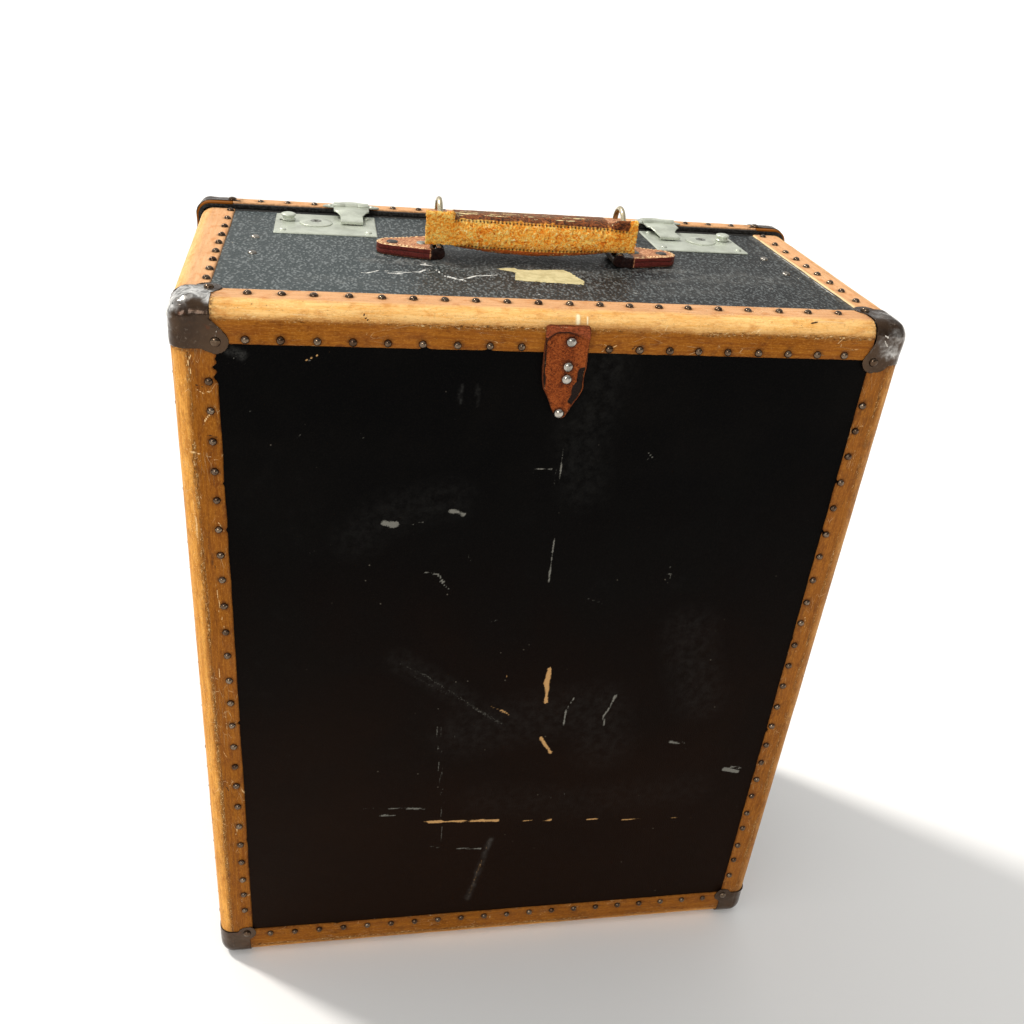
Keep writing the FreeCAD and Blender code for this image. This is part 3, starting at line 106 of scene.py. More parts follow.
# =============================================================== materials
class Shader:
    """A small helper that writes a node tree in reading order."""

    def __init__(self, name):
        self.mat = bpy.data.materials.new(name)
        self.mat.use_nodes = True
        self.t = self.mat.node_tree
        self.t.nodes.clear()
        self.out = self.t.nodes.new("ShaderNodeOutputMaterial")
        self.bsdf = self.t.nodes.new("ShaderNodeBsdfPrincipled")
        self.t.links.new(self.bsdf.outputs[0], self.out.inputs[0])
        self._co = None

    def node(self, kind, **props):
        n = self.t.nodes.new("ShaderNode" + kind)
        for k, v in props.items():
            setattr(n, k, v)
        return n

    def put(self, socket, value):
        if isinstance(value, bpy.types.NodeSocket):
            self.t.links.new(value, socket)
        elif value is not None:
            if socket.type == "RGBA" and not hasattr(value, "__len__"):
                value = (value, value, value, 1)
            if socket.type == "RGBA" and len(value) == 3:
                value = (*value, 1)
            socket.default_value = value

    @property
    def co(self):
        if self._co is None:
            self._co = self.node("TexCoord").outputs["Object"]
        return self._co

    def attr(self, name, out="Vector"):
        n = self.node("Attribute", attribute_name=name)
        return n.outputs[out]

    def split(self, color):
        n = self.node("SeparateColor")
        self.put(n.inputs[0], color)
        return n.outputs[0], n.outputs[1], n.outputs[2]

    def scaled(self, vec, scale):
        n = self.node("Mapping")
        self.put(n.inputs["Vector"], vec)
        n.inputs["Scale"].default_value = scale if hasattr(scale, "__len__") else (scale, scale, scale)
        return n.outputs[0]

    def noise(self, vec=None, scale=1.0, detail=4.0, rough=0.55, distort=0.0):
        n = self.node("TexNoise")
        self.put(n.inputs["Vector"], vec if vec is not None else self.co)
        n.inputs["Scale"].default_value = scale
        n.inputs["Detail"].default_value = detail
        n.inputs["Roughness"].default_value = rough
        n.inputs["Distortion"].default_value = distort
        return n.outputs[0]

    def voronoi(self, vec=None, scale=1.0, feature="F1", rand=1.0, out=0):
        n = self.node("TexVoronoi", feature=feature)
        self.put(n.inputs["Vector"], vec if vec is not None else self.co)
        n.inputs["Scale"].default_value = scale
        n.inputs["Randomness"].default_value = rand
        return n.outputs[out]

    def wave(self, vec, scale, distort=0.0, detail=0.0, bands="X"):
        n = self.node("TexWave", wave_type="BANDS", bands_direction=bands)
        self.put(n.inputs["Vector"], vec)
        n.inputs["Scale"].default_value = scale
        n.inputs["Distortion"].default_value = distort
        n.inputs["Detail"].default_value = detail
        return n.outputs[1]

    def math(self, op, a, b=None, c=None, clamp=False):
        n = self.node("Math", operation=op, use_clamp=clamp)
        self.put(n.inputs[0], a)
        if b is not None:
            self.put(n.inputs[1], b)
        if c is not None:
            self.put(n.inputs[2], c)
        return n.outputs[0]

    def step(self, x, lo, hi, a=0.0, b=1.0):
        n = self.node("MapRange", interpolation_type="SMOOTHSTEP")
        self.put(n.inputs[0], x)
        for i, v in ((1, lo), (2, hi), (3, a), (4, b)):
            n.inputs[i].default_value = v
        return n.outputs[0]

    def mix(self, fac, a, b, blend="MIX"):
        n = self.node("Mix", data_type="RGBA", blend_type=blend)
        self.put(n.inputs[0], fac)
        self.put(n.inputs[6], a)
        self.put(n.inputs[7], b)
        return n.outputs[2]

    def ramp(self, fac, *stops):
        n = self.node("ValToRGB")
        e = n.color_ramp.elements
        while len(e) < len(stops):
            e.new(0.5)
        for el, (pos, col) in zip(e, stops):
            el.position = pos
            el.color = (*col, 1) if len(col) == 3 else col
        self.put(n.inputs[0], fac)
        return n.outputs[0]

    def bump(self, height, dist, strength=1.0, under=None):
        n = self.node("Bump")
        n.inputs["Strength"].default_value = strength
        n.inputs["Distance"].default_value = dist
        self.put(n.inputs["Height"], height)
        if under is not None:
            self.put(n.inputs["Normal"], under)
        return n.outputs[0]

    def finish(self, color=None, rough=None, metal=None, normal=None, **fixed):
        b = self.bsdf
        if color is not None:
            self.put(b.inputs["Base Color"], color)
        if rough is not None:
            self.put(b.inputs["Roughness"], rough)
        if metal is not None:
            self.put(b.inputs["Metallic"], metal)
        if normal is not None:
            self.put(b.inputs["Normal"], normal)
        for k, v in fixed.items():
            b.inputs[k.replace("_", " ")].default_value = v
        return self.mat


def make_fibre():
    """Vulcanised fibre binding. Attribute sd: mm along and across the strip;
    masks: gold of the bend (wear with a painted highlight), dirt, paler
    colour on the lit faces (sun-fading and painted light); zone: chips along
    the crease, tone of the gold, mottling; scars: pale scratch, dark mark."""
    s = Shader("vulcanised_fibre")
    sd = s.attr("sd")
    bend_gold_and_highlight, dirt, faded_and_lit = s.split(s.attr("masks", "Color"))
    chip_at, tone, mottle = s.split(s.attr("zone", "Color"))
    scar, black, _ = s.split(s.attr("scars", "Color"))
    broad = s.noise(scale=14.0, detail=3)
    streak = s.noise(s.scaled(sd, (0.030, 0.42, 1)), scale=1.0, detail=5, rough=0.65)
    hair = s.noise(s.scaled(sd, (0.20, 1.9, 1)), scale=1.0, detail=4, rough=0.7)
    blotch = s.noise(s.scaled(sd, (0.09, 0.16, 1)), scale=1.0, detail=5, rough=0.6)
    fine = s.noise(s.scaled(sd, (0.5, 1.6, 1)), scale=1.0, detail=6, rough=0.7)
    grit = s.noise(s.scaled(sd, (0.42, 0.75, 1)), scale=1.0, detail=6, rough=0.8)
    clump = s.noise(s.scaled(sd, (0.07, 0.22, 1)), scale=1.0, detail=3, rough=0.6)
    deep = s.mix(s.step(streak, 0.35, 0.65), (0.190, 0.052, 0.0024), (0.285, 0.094, 0.0055))
    deep = s.mix(s.step(blotch, 0.50, 0.70), deep, (0.135, 0.034, 0.0022))
    deep = s.mix(s.step(hair, 0.52, 0.66, 0.0, 0.55), deep, (0.38, 0.150, 0.016))
    deep = s.mix(s.step(hair, 0.46, 0.34, 0.0, 0.45), deep, (0.100, 0.028, 0.002))
    pale = s.mix(s.step(streak, 0.3, 0.7), (0.74, 0.385, 0.175), (0.86, 0.50, 0.26))
    pale = s.mix(s.step(blotch, 0.50, 0.72), pale, (0.68, 0.29, 0.105))
    pale = s.mix(s.step(hair, 0.55, 0.72, 0.0, 0.45), pale, (0.95, 0.66, 0.34))
    # paler colour on the faces that face the light: part sun-fading, part painted light
    col = s.mix(faded_and_lit, deep, pale)
    # gold of the bend: wear on the rounded edge, with a painted highlight where it turns to the light
    gold = s.mix(tone, (0.50, 0.175, 0.018), (0.84, 0.42, 0.105))
    lit = s.mix(tone, (0.86, 0.40, 0.070), (1.0, 0.66, 0.27))
    gold = s.mix(s.step(s.math("ADD", s.math("MULTIPLY", streak, 0.55), s.math("MULTIPLY", hair, 0.45)), 0.36, 0.62), gold, lit)
    gold = s.mix(s.math("MULTIPLY", s.step(blotch, 0.50, 0.70), 0.65), gold, s.mix(tone, (0.40, 0.125, 0.014), (0.66, 0.28, 0.065)))
    w = s.math("ADD", bend_gold_and_highlight, s.math("MULTIPLY", s.math("SUBTRACT", fine, 0.5), 0.7))
    w = s.step(w, 0.10, 0.90)
    col = s.mix(w, col, gold)
    # the browned foot of the bend, above the crease
    foot = s.math("MULTIPLY", s.step(chip_at, 0.05, 0.5), s.step(s.math("ADD", s.math("MULTIPLY", grit, 0.6), s.math("MULTIPLY", clump, 0.4)), 0.40, 0.58))
    col = s.mix(s.math("MULTIPLY", foot, 0.60), col, (0.27, 0.115, 0.020))
    speckle = s.noise(s.scaled(sd, (0.55, 0.80, 1)), scale=1.0, detail=4, rough=0.75)
    col = s.mix(s.step(speckle, 0.50, 0.68, 0.0, 0.26), col, s.mix(0.5, col, (0.95, 0.52, 0.12)))
    col = s.mix(s.step(speckle, 0.47, 0.33, 0.0, 0.42), col, s.mix(0.62, col, (0.10, 0.030, 0.003)))
    # mottling where the surface is scuffed brown
    mo = s.math("MULTIPLY", s.step(s.noise(s.scaled(sd, (0.16, 0.34, 1)), 1.0, detail=6, rough=0.75), 0.46, 0.60), mottle)
    col = s.mix(s.math("MULTIPLY", mo, 0.75), col, (0.135, 0.048, 0.010))
    # fine yellow flecks on the bend
    area = s.math("ADD", s.math("MULTIPLY", bend_gold_and_highlight, 0.55), s.math("MULTIPLY", chip_at, 0.9), clamp=True)
    fleck = s.step(s.voronoi(s.scaled(sd, (0.62, 0.95, 1)), 1.0, "F1", 1.0), 0.16, 0.30, 1.0, 0.0)
    fleck = s.math("MULTIPLY", fleck, s.step(clump, 0.46, 0.58))
    fleck = s.math("MULTIPLY", fleck, area)
    col = s.mix(s.math("MULTIPLY", fleck, 0.85), col, (1.0, 0.80, 0.40))
    grime = s.math("MULTIPLY", s.step(grit, 0.52, 0.60), s.math("MULTIPLY", area, s.step(clump, 0.40, 0.56)))
    col = s.mix(s.math("MULTIPLY", grime, 0.62), col, (0.19, 0.085, 0.022))
    # chips along the crease: torn pale paper and black dirt
    torn = s.noise(s.scaled(sd, (0.30, 0.95, 1)), scale=1.0, detail=6, rough=0.8)
    pit = s.math("MULTIPLY", s.step(torn, 0.55, 0.60), s.step(chip_at, 0.15, 0.6))
    col = s.mix(s.math("MULTIPLY", pit, 0.9), col, (0.055, 0.024, 0.010))
    chip = s.math("MULTIPLY", s.step(torn, 0.44, 0.38), s.step(chip_at, 0.25, 0.7))
    col = s.mix(s.math("MULTIPLY", chip, 0.9), col, (0.97, 0.76, 0.42))
    d = s.math("MULTIPLY", dirt, s.step(s.noise(scale=700, detail=4), 0.25, 0.62))
    col = s.mix(s.math("MULTIPLY", d, 0.88), col, (0.060, 0.022, 0.008))
    pits = s.step(s.voronoi(s.scaled(sd, (0.22, 0.36, 1)), 1.0, "F1", 1.0), 0.05, 0.11, 1.0, 0.0)
    pits = s.math("MULTIPLY", pits, s.step(s.noise(scale=120, detail=2), 0.5, 0.62))
    col = s.mix(s.math("MULTIPLY", pits, 0.7), col, (0.10, 0.035, 0.012))
    nicks = s.step(s.voronoi(s.scaled(sd, (0.06, 0.30, 1)), 1.0, "DISTANCE_TO_EDGE", 1.0), 0.0, 0.014, 1.0, 0.0)
    nicks = s.math("MULTIPLY", nicks, s.step(s.noise(scale=60, detail=2), 0.53, 0.62))
    col = s.mix(s.math("MULTIPLY", nicks, 0.55), col, (0.92, 0.66, 0.34))
    rag = s.noise(scale=1100, detail=4, rough=0.7)
    sc = s.step(s.math("ADD", scar, s.math("MULTIPLY", s.math("SUBTRACT", rag, 0.5), 0.9)), 0.34, 0.66)
    col = s.mix(sc, col, s.mix(s.step(scar, 0.85, 1.15), (0.84, 0.56, 0.26), (1.0, 0.88, 0.58)))
    bk = s.step(s.math("ADD", black, s.math("MULTIPLY", s.math("SUBTRACT", rag, 0.5), 0.9)), 0.34, 0.66)
    col = s.mix(bk, col, (0.022, 0.011, 0.007))
    col = s.mix(s.step(broad, 0.35, 0.7, 0.0, 0.16), col, (0.36, 0.13, 0.03))
    h = s.math("ADD", s.math("MULTIPLY", fine, 0.5), s.math("MULTIPLY", streak, 0.35))
    h = s.math("SUBTRACT", h, s.math("ADD", s.math("MULTIPLY", pits, 0.5), s.math("MULTIPLY", nicks, 0.4)))
    h = s.math("SUBTRACT", h, s.math("ADD", s.math("MULTIPLY", pit, 0.9), s.math("MULTIPLY", bk, 0.6)))
    h = s.math("ADD", h, s.math("MULTIPLY", s.math("MAXIMUM", chip, sc), 0.4))
    rough = s.math("ADD", 0.36, s.math("MULTIPLY", fine, 0.30))
    rough = s.math("ADD", rough, s.math("MULTIPLY", s.math("MAXIMUM", chip, fleck), 0.2))
    return s.finish(col, rough, 0.0, s.bump(h, 0.00034, 0.95), Specular_IOR_Level=0.07)


def make_cloth(name, base, lift, grain, spec, rough, dust_and_sheen=0.3, worn=None, tint=None, lit_left_colour=None, floor_reflection=None, haze=1.0, sharp=(0.15, 0.55), pale=(0.42, 0.38, 0.31), long=1.0, lit_grain_falloff=None):
    """Leathercloth: pebbled coated cloth. Attribute marks: pale scuff, tan
    scratch, grey dust. The pebble tops are painted paler as a painted highlight
    of the grain; optional colours paint a brighter left part of the top (painted
    light) and a warm painted reflection of the floor low on the front."""
    s = Shader(name)
    marks = s.attr("marks", "Color")
    scuff, tan, dust = s.split(marks)
    cells = s.voronoi(s.scaled(s.co, (1.0 / grain, long / grain, 1.0 / grain)), 1.0, "SMOOTH_F1")
    cells2 = s.noise(s.scaled(s.co, (1.6 / grain, 1.6 * long / grain, 1.6 / grain)), scale=1.0, detail=3, rough=0.6)
    wide = s.noise(scale=9.0, detail=4, rough=0.6)
    mid = s.noise(scale=60.0, detail=5, rough=0.65)
    col = s.mix(s.step(wide, 0.35, 0.7), base, lift)
    # painted light: the left part of the top is painted brighter, as if lit from the left
    if lit_left_colour:
        px = s.node("SeparateXYZ")
        s.put(px.inputs[0], s.co)
        far = s.math("ADD", px.outputs[0], s.math("MULTIPLY", s.math("SUBTRACT", wide, 0.5), 0.12))
        col = s.mix(s.step(far, -0.17, 0.05, 1.0, 0.0), col, lit_left_colour)
    # painted reflection: the low part is painted warmer and lighter, as a reflection of the floor
    if floor_reflection:
        pz = s.node("SeparateXYZ")
        s.put(pz.inputs[0], s.co)
        down = s.math("ADD", pz.outputs[2], s.math("MULTIPLY", s.math("SUBTRACT", wide, 0.5), 0.30))
        col = s.mix(s.step(down, 0.02, 0.46, 1.0, 0.0), col, floor_reflection)
    # the pebble tops painted paler: painted highlight on the grain; the same amount also sets the grey dust haze
    pebble_top_highlight = s.step(s.math("ADD", cells, s.math("MULTIPLY", s.math("SUBTRACT", cells2, 0.5), 0.35)), sharp[0], sharp[1], 1.0, 0.0)
    pebble_top_highlight = s.math("MULTIPLY", pebble_top_highlight, dust_and_sheen)
    # painted light: the grain highlight is stronger on the left and weaker on the right
    if lit_grain_falloff:
        pebble_top_highlight = s.math("MULTIPLY", pebble_top_highlight, s.step(far, -0.16, 0.16, lit_grain_falloff[0], lit_grain_falloff[1]))
    col = s.mix(pebble_top_highlight, col, tint or (0.20, 0.20, 0.19))
    cloud = s.math("MULTIPLY", s.step(mid, 0.5, 0.8), s.step(wide, 0.45, 0.7))
    col = s.mix(s.math("MULTIPLY", cloud, 0.35 * dust_and_sheen * haze), col, (0.27, 0.275, 0.268))
    speck = s.step(s.voronoi(scale=85.0, feature="F1"), 0.03, 0.055, 1.0, 0.0)
    speck = s.math("MULTIPLY", speck, s.step(s.noise(scale=31, detail=2), 0.52, 0.6))
    col = s.mix(s.math("MULTIPLY", speck, 0.55 * haze), col, (0.38, 0.33, 0.26))
    crumble = s.noise(scale=900, detail=5, rough=0.7)
    sc = s.step(s.math("ADD", scuff, s.math("MULTIPLY", s.math("SUBTRACT", crumble, 0.5), 1.3)), 0.42, 0.78)
    sc = s.math("MULTIPLY", sc, s.step(scuff, 0.02, 0.2))
    col = s.mix(sc, col, pale)
    tn = s.step(s.math("ADD", tan, s.math("MULTIPLY", s.math("SUBTRACT", crumble, 0.5), 1.2)), 0.40, 0.72)
    tn = s.math("MULTIPLY", tn, s.step(tan, 0.02, 0.2))
    col = s.mix(tn, col, worn or (0.44, 0.25, 0.10))
    du = s.math("MULTIPLY", dust, s.step(s.noise(scale=150.0, detail=6, rough=0.7), 0.34, 0.72))
    col = s.mix(s.math("MULTIPLY", du, 0.6 * haze), col, (0.34, 0.335, 0.31))
    h = s.math("ADD", s.math("MULTIPLY", cells, -0.75), s.math("MULTIPLY", cells2, 0.5))
    h = s.math("SUBTRACT", h, s.math("MULTIPLY", s.math("MAXIMUM", sc, tn), 0.5))
    r = s.math("ADD", rough, s.math("MULTIPLY", s.math("SUBTRACT", mid, 0.5), 0.3))
    r = s.math("ADD", r, s.math("MULTIPLY", s.math("MAXIMUM", sc, s.math("MAXIMUM", tn, du)), 0.25), clamp=True)
    return s.finish(col, r, 0.0, s.bump(h, grain * 0.34, 0.9), Specular_IOR_Level=spec)


def make_metal(name, base, alt, rough, bright=None, scale=40.0, metal=1.0, rust=None, spec=0.5, worn=None):
    s = Shader(name)
    wide = s.noise(scale=scale, detail=5, rough=0.65)
    fine = s.noise(scale=scale * 14, detail=5, rough=0.7)
    col = s.mix(s.step(wide, 0.35, 0.68), base, alt)
    if bright:
        col = s.mix(s.math("MULTIPLY", s.step(fine, 0.55, 0.75), s.step(wide, 0.4, 0.62)), col, bright)
    if rust:
        col = s.mix(s.step(s.noise(scale=scale * 5, detail=4), 0.62, 0.74), col, rust)
    # worn: the colour of bare patches; on the corner caps these patches are partly painted highlight
    if worn:
        bare, grimy, nick = s.split(s.attr("masks", "Color"))
        cloud = s.noise(scale=150, detail=6, rough=0.7)
        b = s.step(s.math("ADD", bare, s.math("MULTIPLY", s.math("SUBTRACT", cloud, 0.5), 0.9)), 0.22, 0.95)
        swirl = s.noise(scale=110, detail=3, rough=0.55, distort=1.8)
        col = s.mix(b, col, s.mix(s.step(swirl, 0.40, 0.62), [c * 0.34 for c in worn], worn))
        g = s.math("MULTIPLY", grimy, s.step(fine, 0.3, 0.6))
        col = s.mix(s.math("MULTIPLY", g, 0.85), col, (0.020, 0.013, 0.010))
        ragged = s.noise(scale=900, detail=5, rough=0.75)
        k = s.step(s.math("ADD", nick, s.math("MULTIPLY", s.math("SUBTRACT", ragged, 0.5), 1.2)), 0.40, 0.60)
        k = s.math("MULTIPLY", k, s.step(nick, 0.02, 0.2))
        col = s.mix(k, col, (0.62, 0.58, 0.52))
    lines = s.step(s.voronoi(s.scaled(s.co, (60, 420, 60)), 1.0, "DISTANCE_TO_EDGE"), 0.0, 0.03, 1.0, 0.0)
    r = s.math("ADD", rough, s.math("MULTIPLY", s.math("SUBTRACT", fine, 0.45), 0.35), clamp=True)
    h = s.math("ADD", s.math("MULTIPLY", fine, 0.4), s.math("MULTIPLY", wide, 0.5))
    h = s.math("SUBTRACT", h, s.math("MULTIPLY", lines, 0.15))
    return s.finish(col, r, metal, s.bump(h, 0.00012, 0.6), Specular_IOR_Level=spec)


def make_suede(name, a, b, c, scale=1.0, fuzz=1.0, rough=0.85, sheen=0.06, gloss=0.40, tip=(0.95, 0.66, 0.36), low=0.42, lip=(0.3, 0.1, 0.02), band=((0.07, 0.03, 0.02), (0.2, 0.09, 0.05))):
    """Worn leather. masks: smooth skin, dark stitch, grime and painted shadow
    round rivets, pale wear and painted highlight on curl tips; zone: reddish
    lip or cut edge, painted shade in the valleys between curls."""
    s = Shader(name)
    swirl = s.noise(scale=55 * scale, detail=4, rough=0.6, distort=1.2)
    fib = s.noise(s.scaled(s.co, (340 * scale, 340 * scale, 460 * scale)), 1.0, detail=5, rough=0.66, distort=2.2)
    strand = s.noise(s.scaled(s.co, (760 * scale, 760 * scale, 760 * scale)), 1.0, detail=4, rough=0.70, distort=1.0)
    nap = s.noise(scale=1500 * scale, detail=4, rough=0.75)
    mixd = s.math("ADD", s.math("MULTIPLY", fib, 0.48), s.math("ADD", s.math("MULTIPLY", swirl, 0.16), s.math("MULTIPLY", strand, 0.36)))
    deepest = [v * low for v in b]
    col = s.ramp(mixd, (0.365, deepest), (0.425, b), (0.478, a), (0.565, c))
    col = s.mix(s.step(nap, 0.42, 0.75, 0.0, 0.22), col, c)
    skin, dark, pale = s.split(s.attr("masks", "Color"))
    red, valley_shade, _b = s.split(s.attr("zone", "Color"))
    # painted shade in the fibre valleys
    col = s.mix(s.math("MULTIPLY", valley_shade, s.step(strand, 0.30, 0.60, 1.0, 0.55)), col, [v * 0.58 for v in b])
    lc = s.mix(s.step(fib, 0.38, 0.62), lip, [min(1.0, v * 1.9) for v in lip])
    col = s.mix(s.step(s.math("ADD", red, s.math("MULTIPLY", s.math("SUBTRACT", fib, 0.5), 0.7)), 0.3, 0.7), col, lc)
    sk = s.mix(s.step(fib, 0.36, 0.66), band[0], band[1])
    col = s.mix(s.step(s.math("ADD", skin, s.math("MULTIPLY", s.math("SUBTRACT", swirl, 0.5), 0.8)), 0.3, 0.7), col, sk)
    p = s.step(s.math("ADD", pale, s.math("MULTIPLY", s.math("SUBTRACT", strand, 0.5), 1.4)), 0.42, 0.70)
    p = s.math("MULTIPLY", p, s.step(pale, 0.02, 0.2))
    col = s.mix(p, col, tip)
    col = s.mix(s.math("MULTIPLY", dark, s.step(s.noise(scale=260, detail=4), 0.15, 0.5)), col, (0.030, 0.011, 0.008))
    h = s.math("ADD", s.math("MULTIPLY", fib, 0.8), s.math("ADD", s.math("MULTIPLY", nap, 0.25), s.math("MULTIPLY", strand, 0.5)))
    h = s.math("MULTIPLY", h, s.math("SUBTRACT", 1.0, s.math("MULTIPLY", skin, 0.75)))
    r = s.math("SUBTRACT", rough, s.math("MULTIPLY", skin, gloss))
    m = s.finish(col, r, 0.0, s.bump(h, 0.0009 * fuzz, 1.0), Specular_IOR_Level=0.12)
    s.bsdf.inputs["Sheen Weight"].default_value = sheen
    s.bsdf.inputs["Sheen Roughness"].default_value = 0.45
    s.bsdf.inputs["Sheen Tint"].default_value = (1.0, 0.72, 0.38, 1)
    return m


def make_paper(name, a, b):
    s = Shader(name)
    blot = s.noise(scale=160, detail=5, rough=0.6)
    fibre = s.noise(scale=1400, detail=4, rough=0.7)
    col = s.mix(s.step(blot, 0.38, 0.66), a, b)
    col = s.mix(s.step(fibre, 0.5, 0.75, 0.0, 0.4), col, (0.42, 0.33, 0.15))
    return s.finish(col, 0.8, 0.0, s.bump(fibre, 0.00012, 0.6), Specular_IOR_Level=0.2)


def make_fabric(name, a, b):
    s = Shader(name)
    wx = s.wave(s.co, 950, 0.6, 2, "X")
    wz = s.wave(s.co, 950, 0.6, 2, "Z")
    weave = s.math("MAXIMUM", wx, wz)
    blot = s.noise(scale=11, detail=5)
    col = s.mix(s.step(blot, 0.4, 0.75), a, b)
    col = s.mix(s.math("MULTIPLY", s.step(weave, 0.3, 0.9), 0.35), col, (0.20, 0.15, 0.09))
    return s.finish(col, 0.9, 0.0, s.bump(weave, 0.0003, 0.7), Specular_IOR_Level=0.2)


def make_floor():
    s = Shader("studio_floor")
    n = s.noise(scale=3.0, detail=3)
    col = s.mix(n, (0.90, 0.90, 0.895), (0.88, 0.88, 0.875))
    return s.finish(col, 0.9, 0.0, s.bump(s.noise(scale=400, detail=3), 0.0002, 0.2), Specular_IOR_Level=0.05)


FIBRE = make_fibre()
CLOTH_TOP = make_cloth("leathercloth_top", (0.0050, 0.0066, 0.0072), (0.010, 0.012, 0.012), 0.0017, 0.22, 0.42, 0.88, tint=(0.160, 0.180, 0.182), lit_left_colour=(0.036, 0.049, 0.051), sharp=(0.19, 0.43), pale=(0.72, 0.72, 0.68), long=0.55, lit_grain_falloff=(1.10, 0.66))
CLOTH_SIDE = make_cloth("leathercloth_side", (0.010, 0.009, 0.008), (0.019, 0.016, 0.014), 0.0013, 0.15, 0.45, 0.16)
CLOTH_FRONT = make_cloth("leathercloth_front", (0.0010, 0.0010, 0.0011), (0.0022, 0.0019, 0.0017), 0.0009, 0.02, 0.42, 0.05, tint=(0.030, 0.024, 0.018), floor_reflection=(0.0095, 0.0042, 0.0021), haze=0.40, pale=(0.15, 0.145, 0.125))
NICKEL = make_metal("nickel_plate", (0.62, 0.66, 0.56), (0.46, 0.49, 0.41), 0.34, (0.88, 0.90, 0.82), 70, 0.40)
NICKEL_DARK = make_metal("key_steel", (0.30, 0.31, 0.27), (0.20, 0.20, 0.18), 0.42, (0.5, 0.5, 0.46), 90, 0.7)
CAP = make_metal("lacquered_cap", (0.070, 0.040, 0.021), (0.036, 0.020, 0.011), 0.18, (0.18, 0.14, 0.105), 34, 0.62, rust=(0.085, 0.032, 0.013), worn=(0.84, 0.83, 0.80), spec=0.35)
NAIL = make_metal("binding_nail", (0.070, 0.042, 0.026), (0.18, 0.130, 0.088), 0.13, (0.74, 0.66, 0.55), 95, 1.0, rust=(0.045, 0.018, 0.011))
RIVET = make_metal("bright_rivet", (0.46, 0.43, 0.38), (0.24, 0.22, 0.19), 0.20, (0.85, 0.82, 0.76), 150, 1.0)
BRASS = make_metal("ring_brass", (0.66, 0.58, 0.40), (0.50, 0.43, 0.29), 0.26, (0.95, 0.90, 0.74), 90)
BROWNED = make_metal("browned_steel", (0.075, 0.060, 0.048), (0.045, 0.034, 0.028), 0.48, (0.16, 0.14, 0.12), 50, 0.9, rust=(0.12, 0.05, 0.025))
RAIL = make_metal("rail_nickel", (0.60, 0.60, 0.58), (0.48, 0.47, 0.44), 0.26, (0.75, 0.75, 0.72), 50)
SUEDE = make_suede("grip_suede", (1.0, 0.365, 0.020), (0.80, 0.175, 0.006), (1.0, 0.70, 0.18), 0.7, 1.7, sheen=0.20, tip=(1.0, 0.88, 0.46), low=0.60, lip=(0.34, 0.070, 0.010), band=((0.022, 0.0075, 0.005), (0.30, 0.080, 0.018)))
TABHIDE = make_suede("tab_suede", (0.200, 0.037, 0.0060), (0.080, 0.014, 0.0026), (0.355, 0.088, 0.017), 1.0, 1.5, sheen=0.03, gloss=0.02, lip=(0.19, 0.044, 0.016), band=((0.006, 0.0036, 0.003), (0.017, 0.009, 0.0065)))
CHAPE = make_suede("chape_hide", (0.42, 0.155, 0.070), (0.24, 0.068, 0.030), (0.76, 0.42, 0.22), 1.0, 0.5, 0.50, lip=(0.085, 0.013, 0.010), band=((0.008, 0.004, 0.004), (0.022, 0.009, 0.007)))
FOOTRIVET = make_metal("foot_rivet", (0.20, 0.19, 0.17), (0.12, 0.11, 0.10), 0.36, (0.4, 0.39, 0.36), 150, 0.8, worn=(0.40, 0.42, 0.36))
PAPER = make_paper("old_paper", (0.66, 0.57, 0.31), (0.50, 0.42, 0.21))
LINING = make_fabric("lining_cloth", (0.52, 0.44, 0.31), (0.40, 0.33, 0.23))
FLOOR = make_floor()

# =============================================================== mesh tools
def side_at(y):
    """Half-width over the body's binding: the sides taper to the front."""
    return 225.4 + 4.2 * (np.asarray(y, float) + 121.5) / 215.0


def tapered(P, lo=208.5, hi=219.4):
    """Points of a straight-sided body, drawn in to the tapered one."""
    P = np.array(P, float)
    w = np.clip((np.abs(P[..., 0]) - lo) / (hi - lo), 0, 1)
    P[..., 0] -= np.sign(P[..., 0]) * w * (229.6 - side_at(P[..., 1]))
    return P


def build(name, verts, faces, mat, body, attrs=None, sharp=35.0, replaces=()):
    """A mesh piece from points in mm, riding on a body."""
    me = bpy.data.meshes.new(name)
    me.from_pydata((np.asarray(verts, float) * MM).tolist(), [], faces if isinstance(faces, list) else faces.tolist())
    me.validate()
    me.update()
    finish_mesh(me, sharp)
    for key, data in (attrs or {}).items():
        data = np.asarray(data, np.float32)
        if data.ndim == 2 and data.shape[1] == 4:
            me.attributes.new(key, "FLOAT_COLOR", "POINT").data.foreach_set("color", data.ravel())
        else:
            me.attributes.new(key, "FLOAT_VECTOR", "POINT").data.foreach_set("vector", data.ravel())
    me.materials.append(mat)
    ob = bpy.data.objects.new(name, me)
    scene.collection.objects.link(ob)
    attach(ob, body)
    if replaces:
        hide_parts(*replaces)
    return ob


def finish_mesh(me, sharp=35.0):
    me.shade_smooth()
    if sharp is not None:
        me.set_sharp_from_angle(angle=math.radians(sharp))


def grid_faces(nu, nv, base=0, flip=False):
    i, j = np.meshgrid(np.arange(nu - 1), np.arange(nv - 1), indexing="ij")
    a = (i * nv + j + base).ravel()
    f = np.stack([a, a + nv, a + nv + 1, a + 1], 1)
    return f[:, ::-1] if flip else f


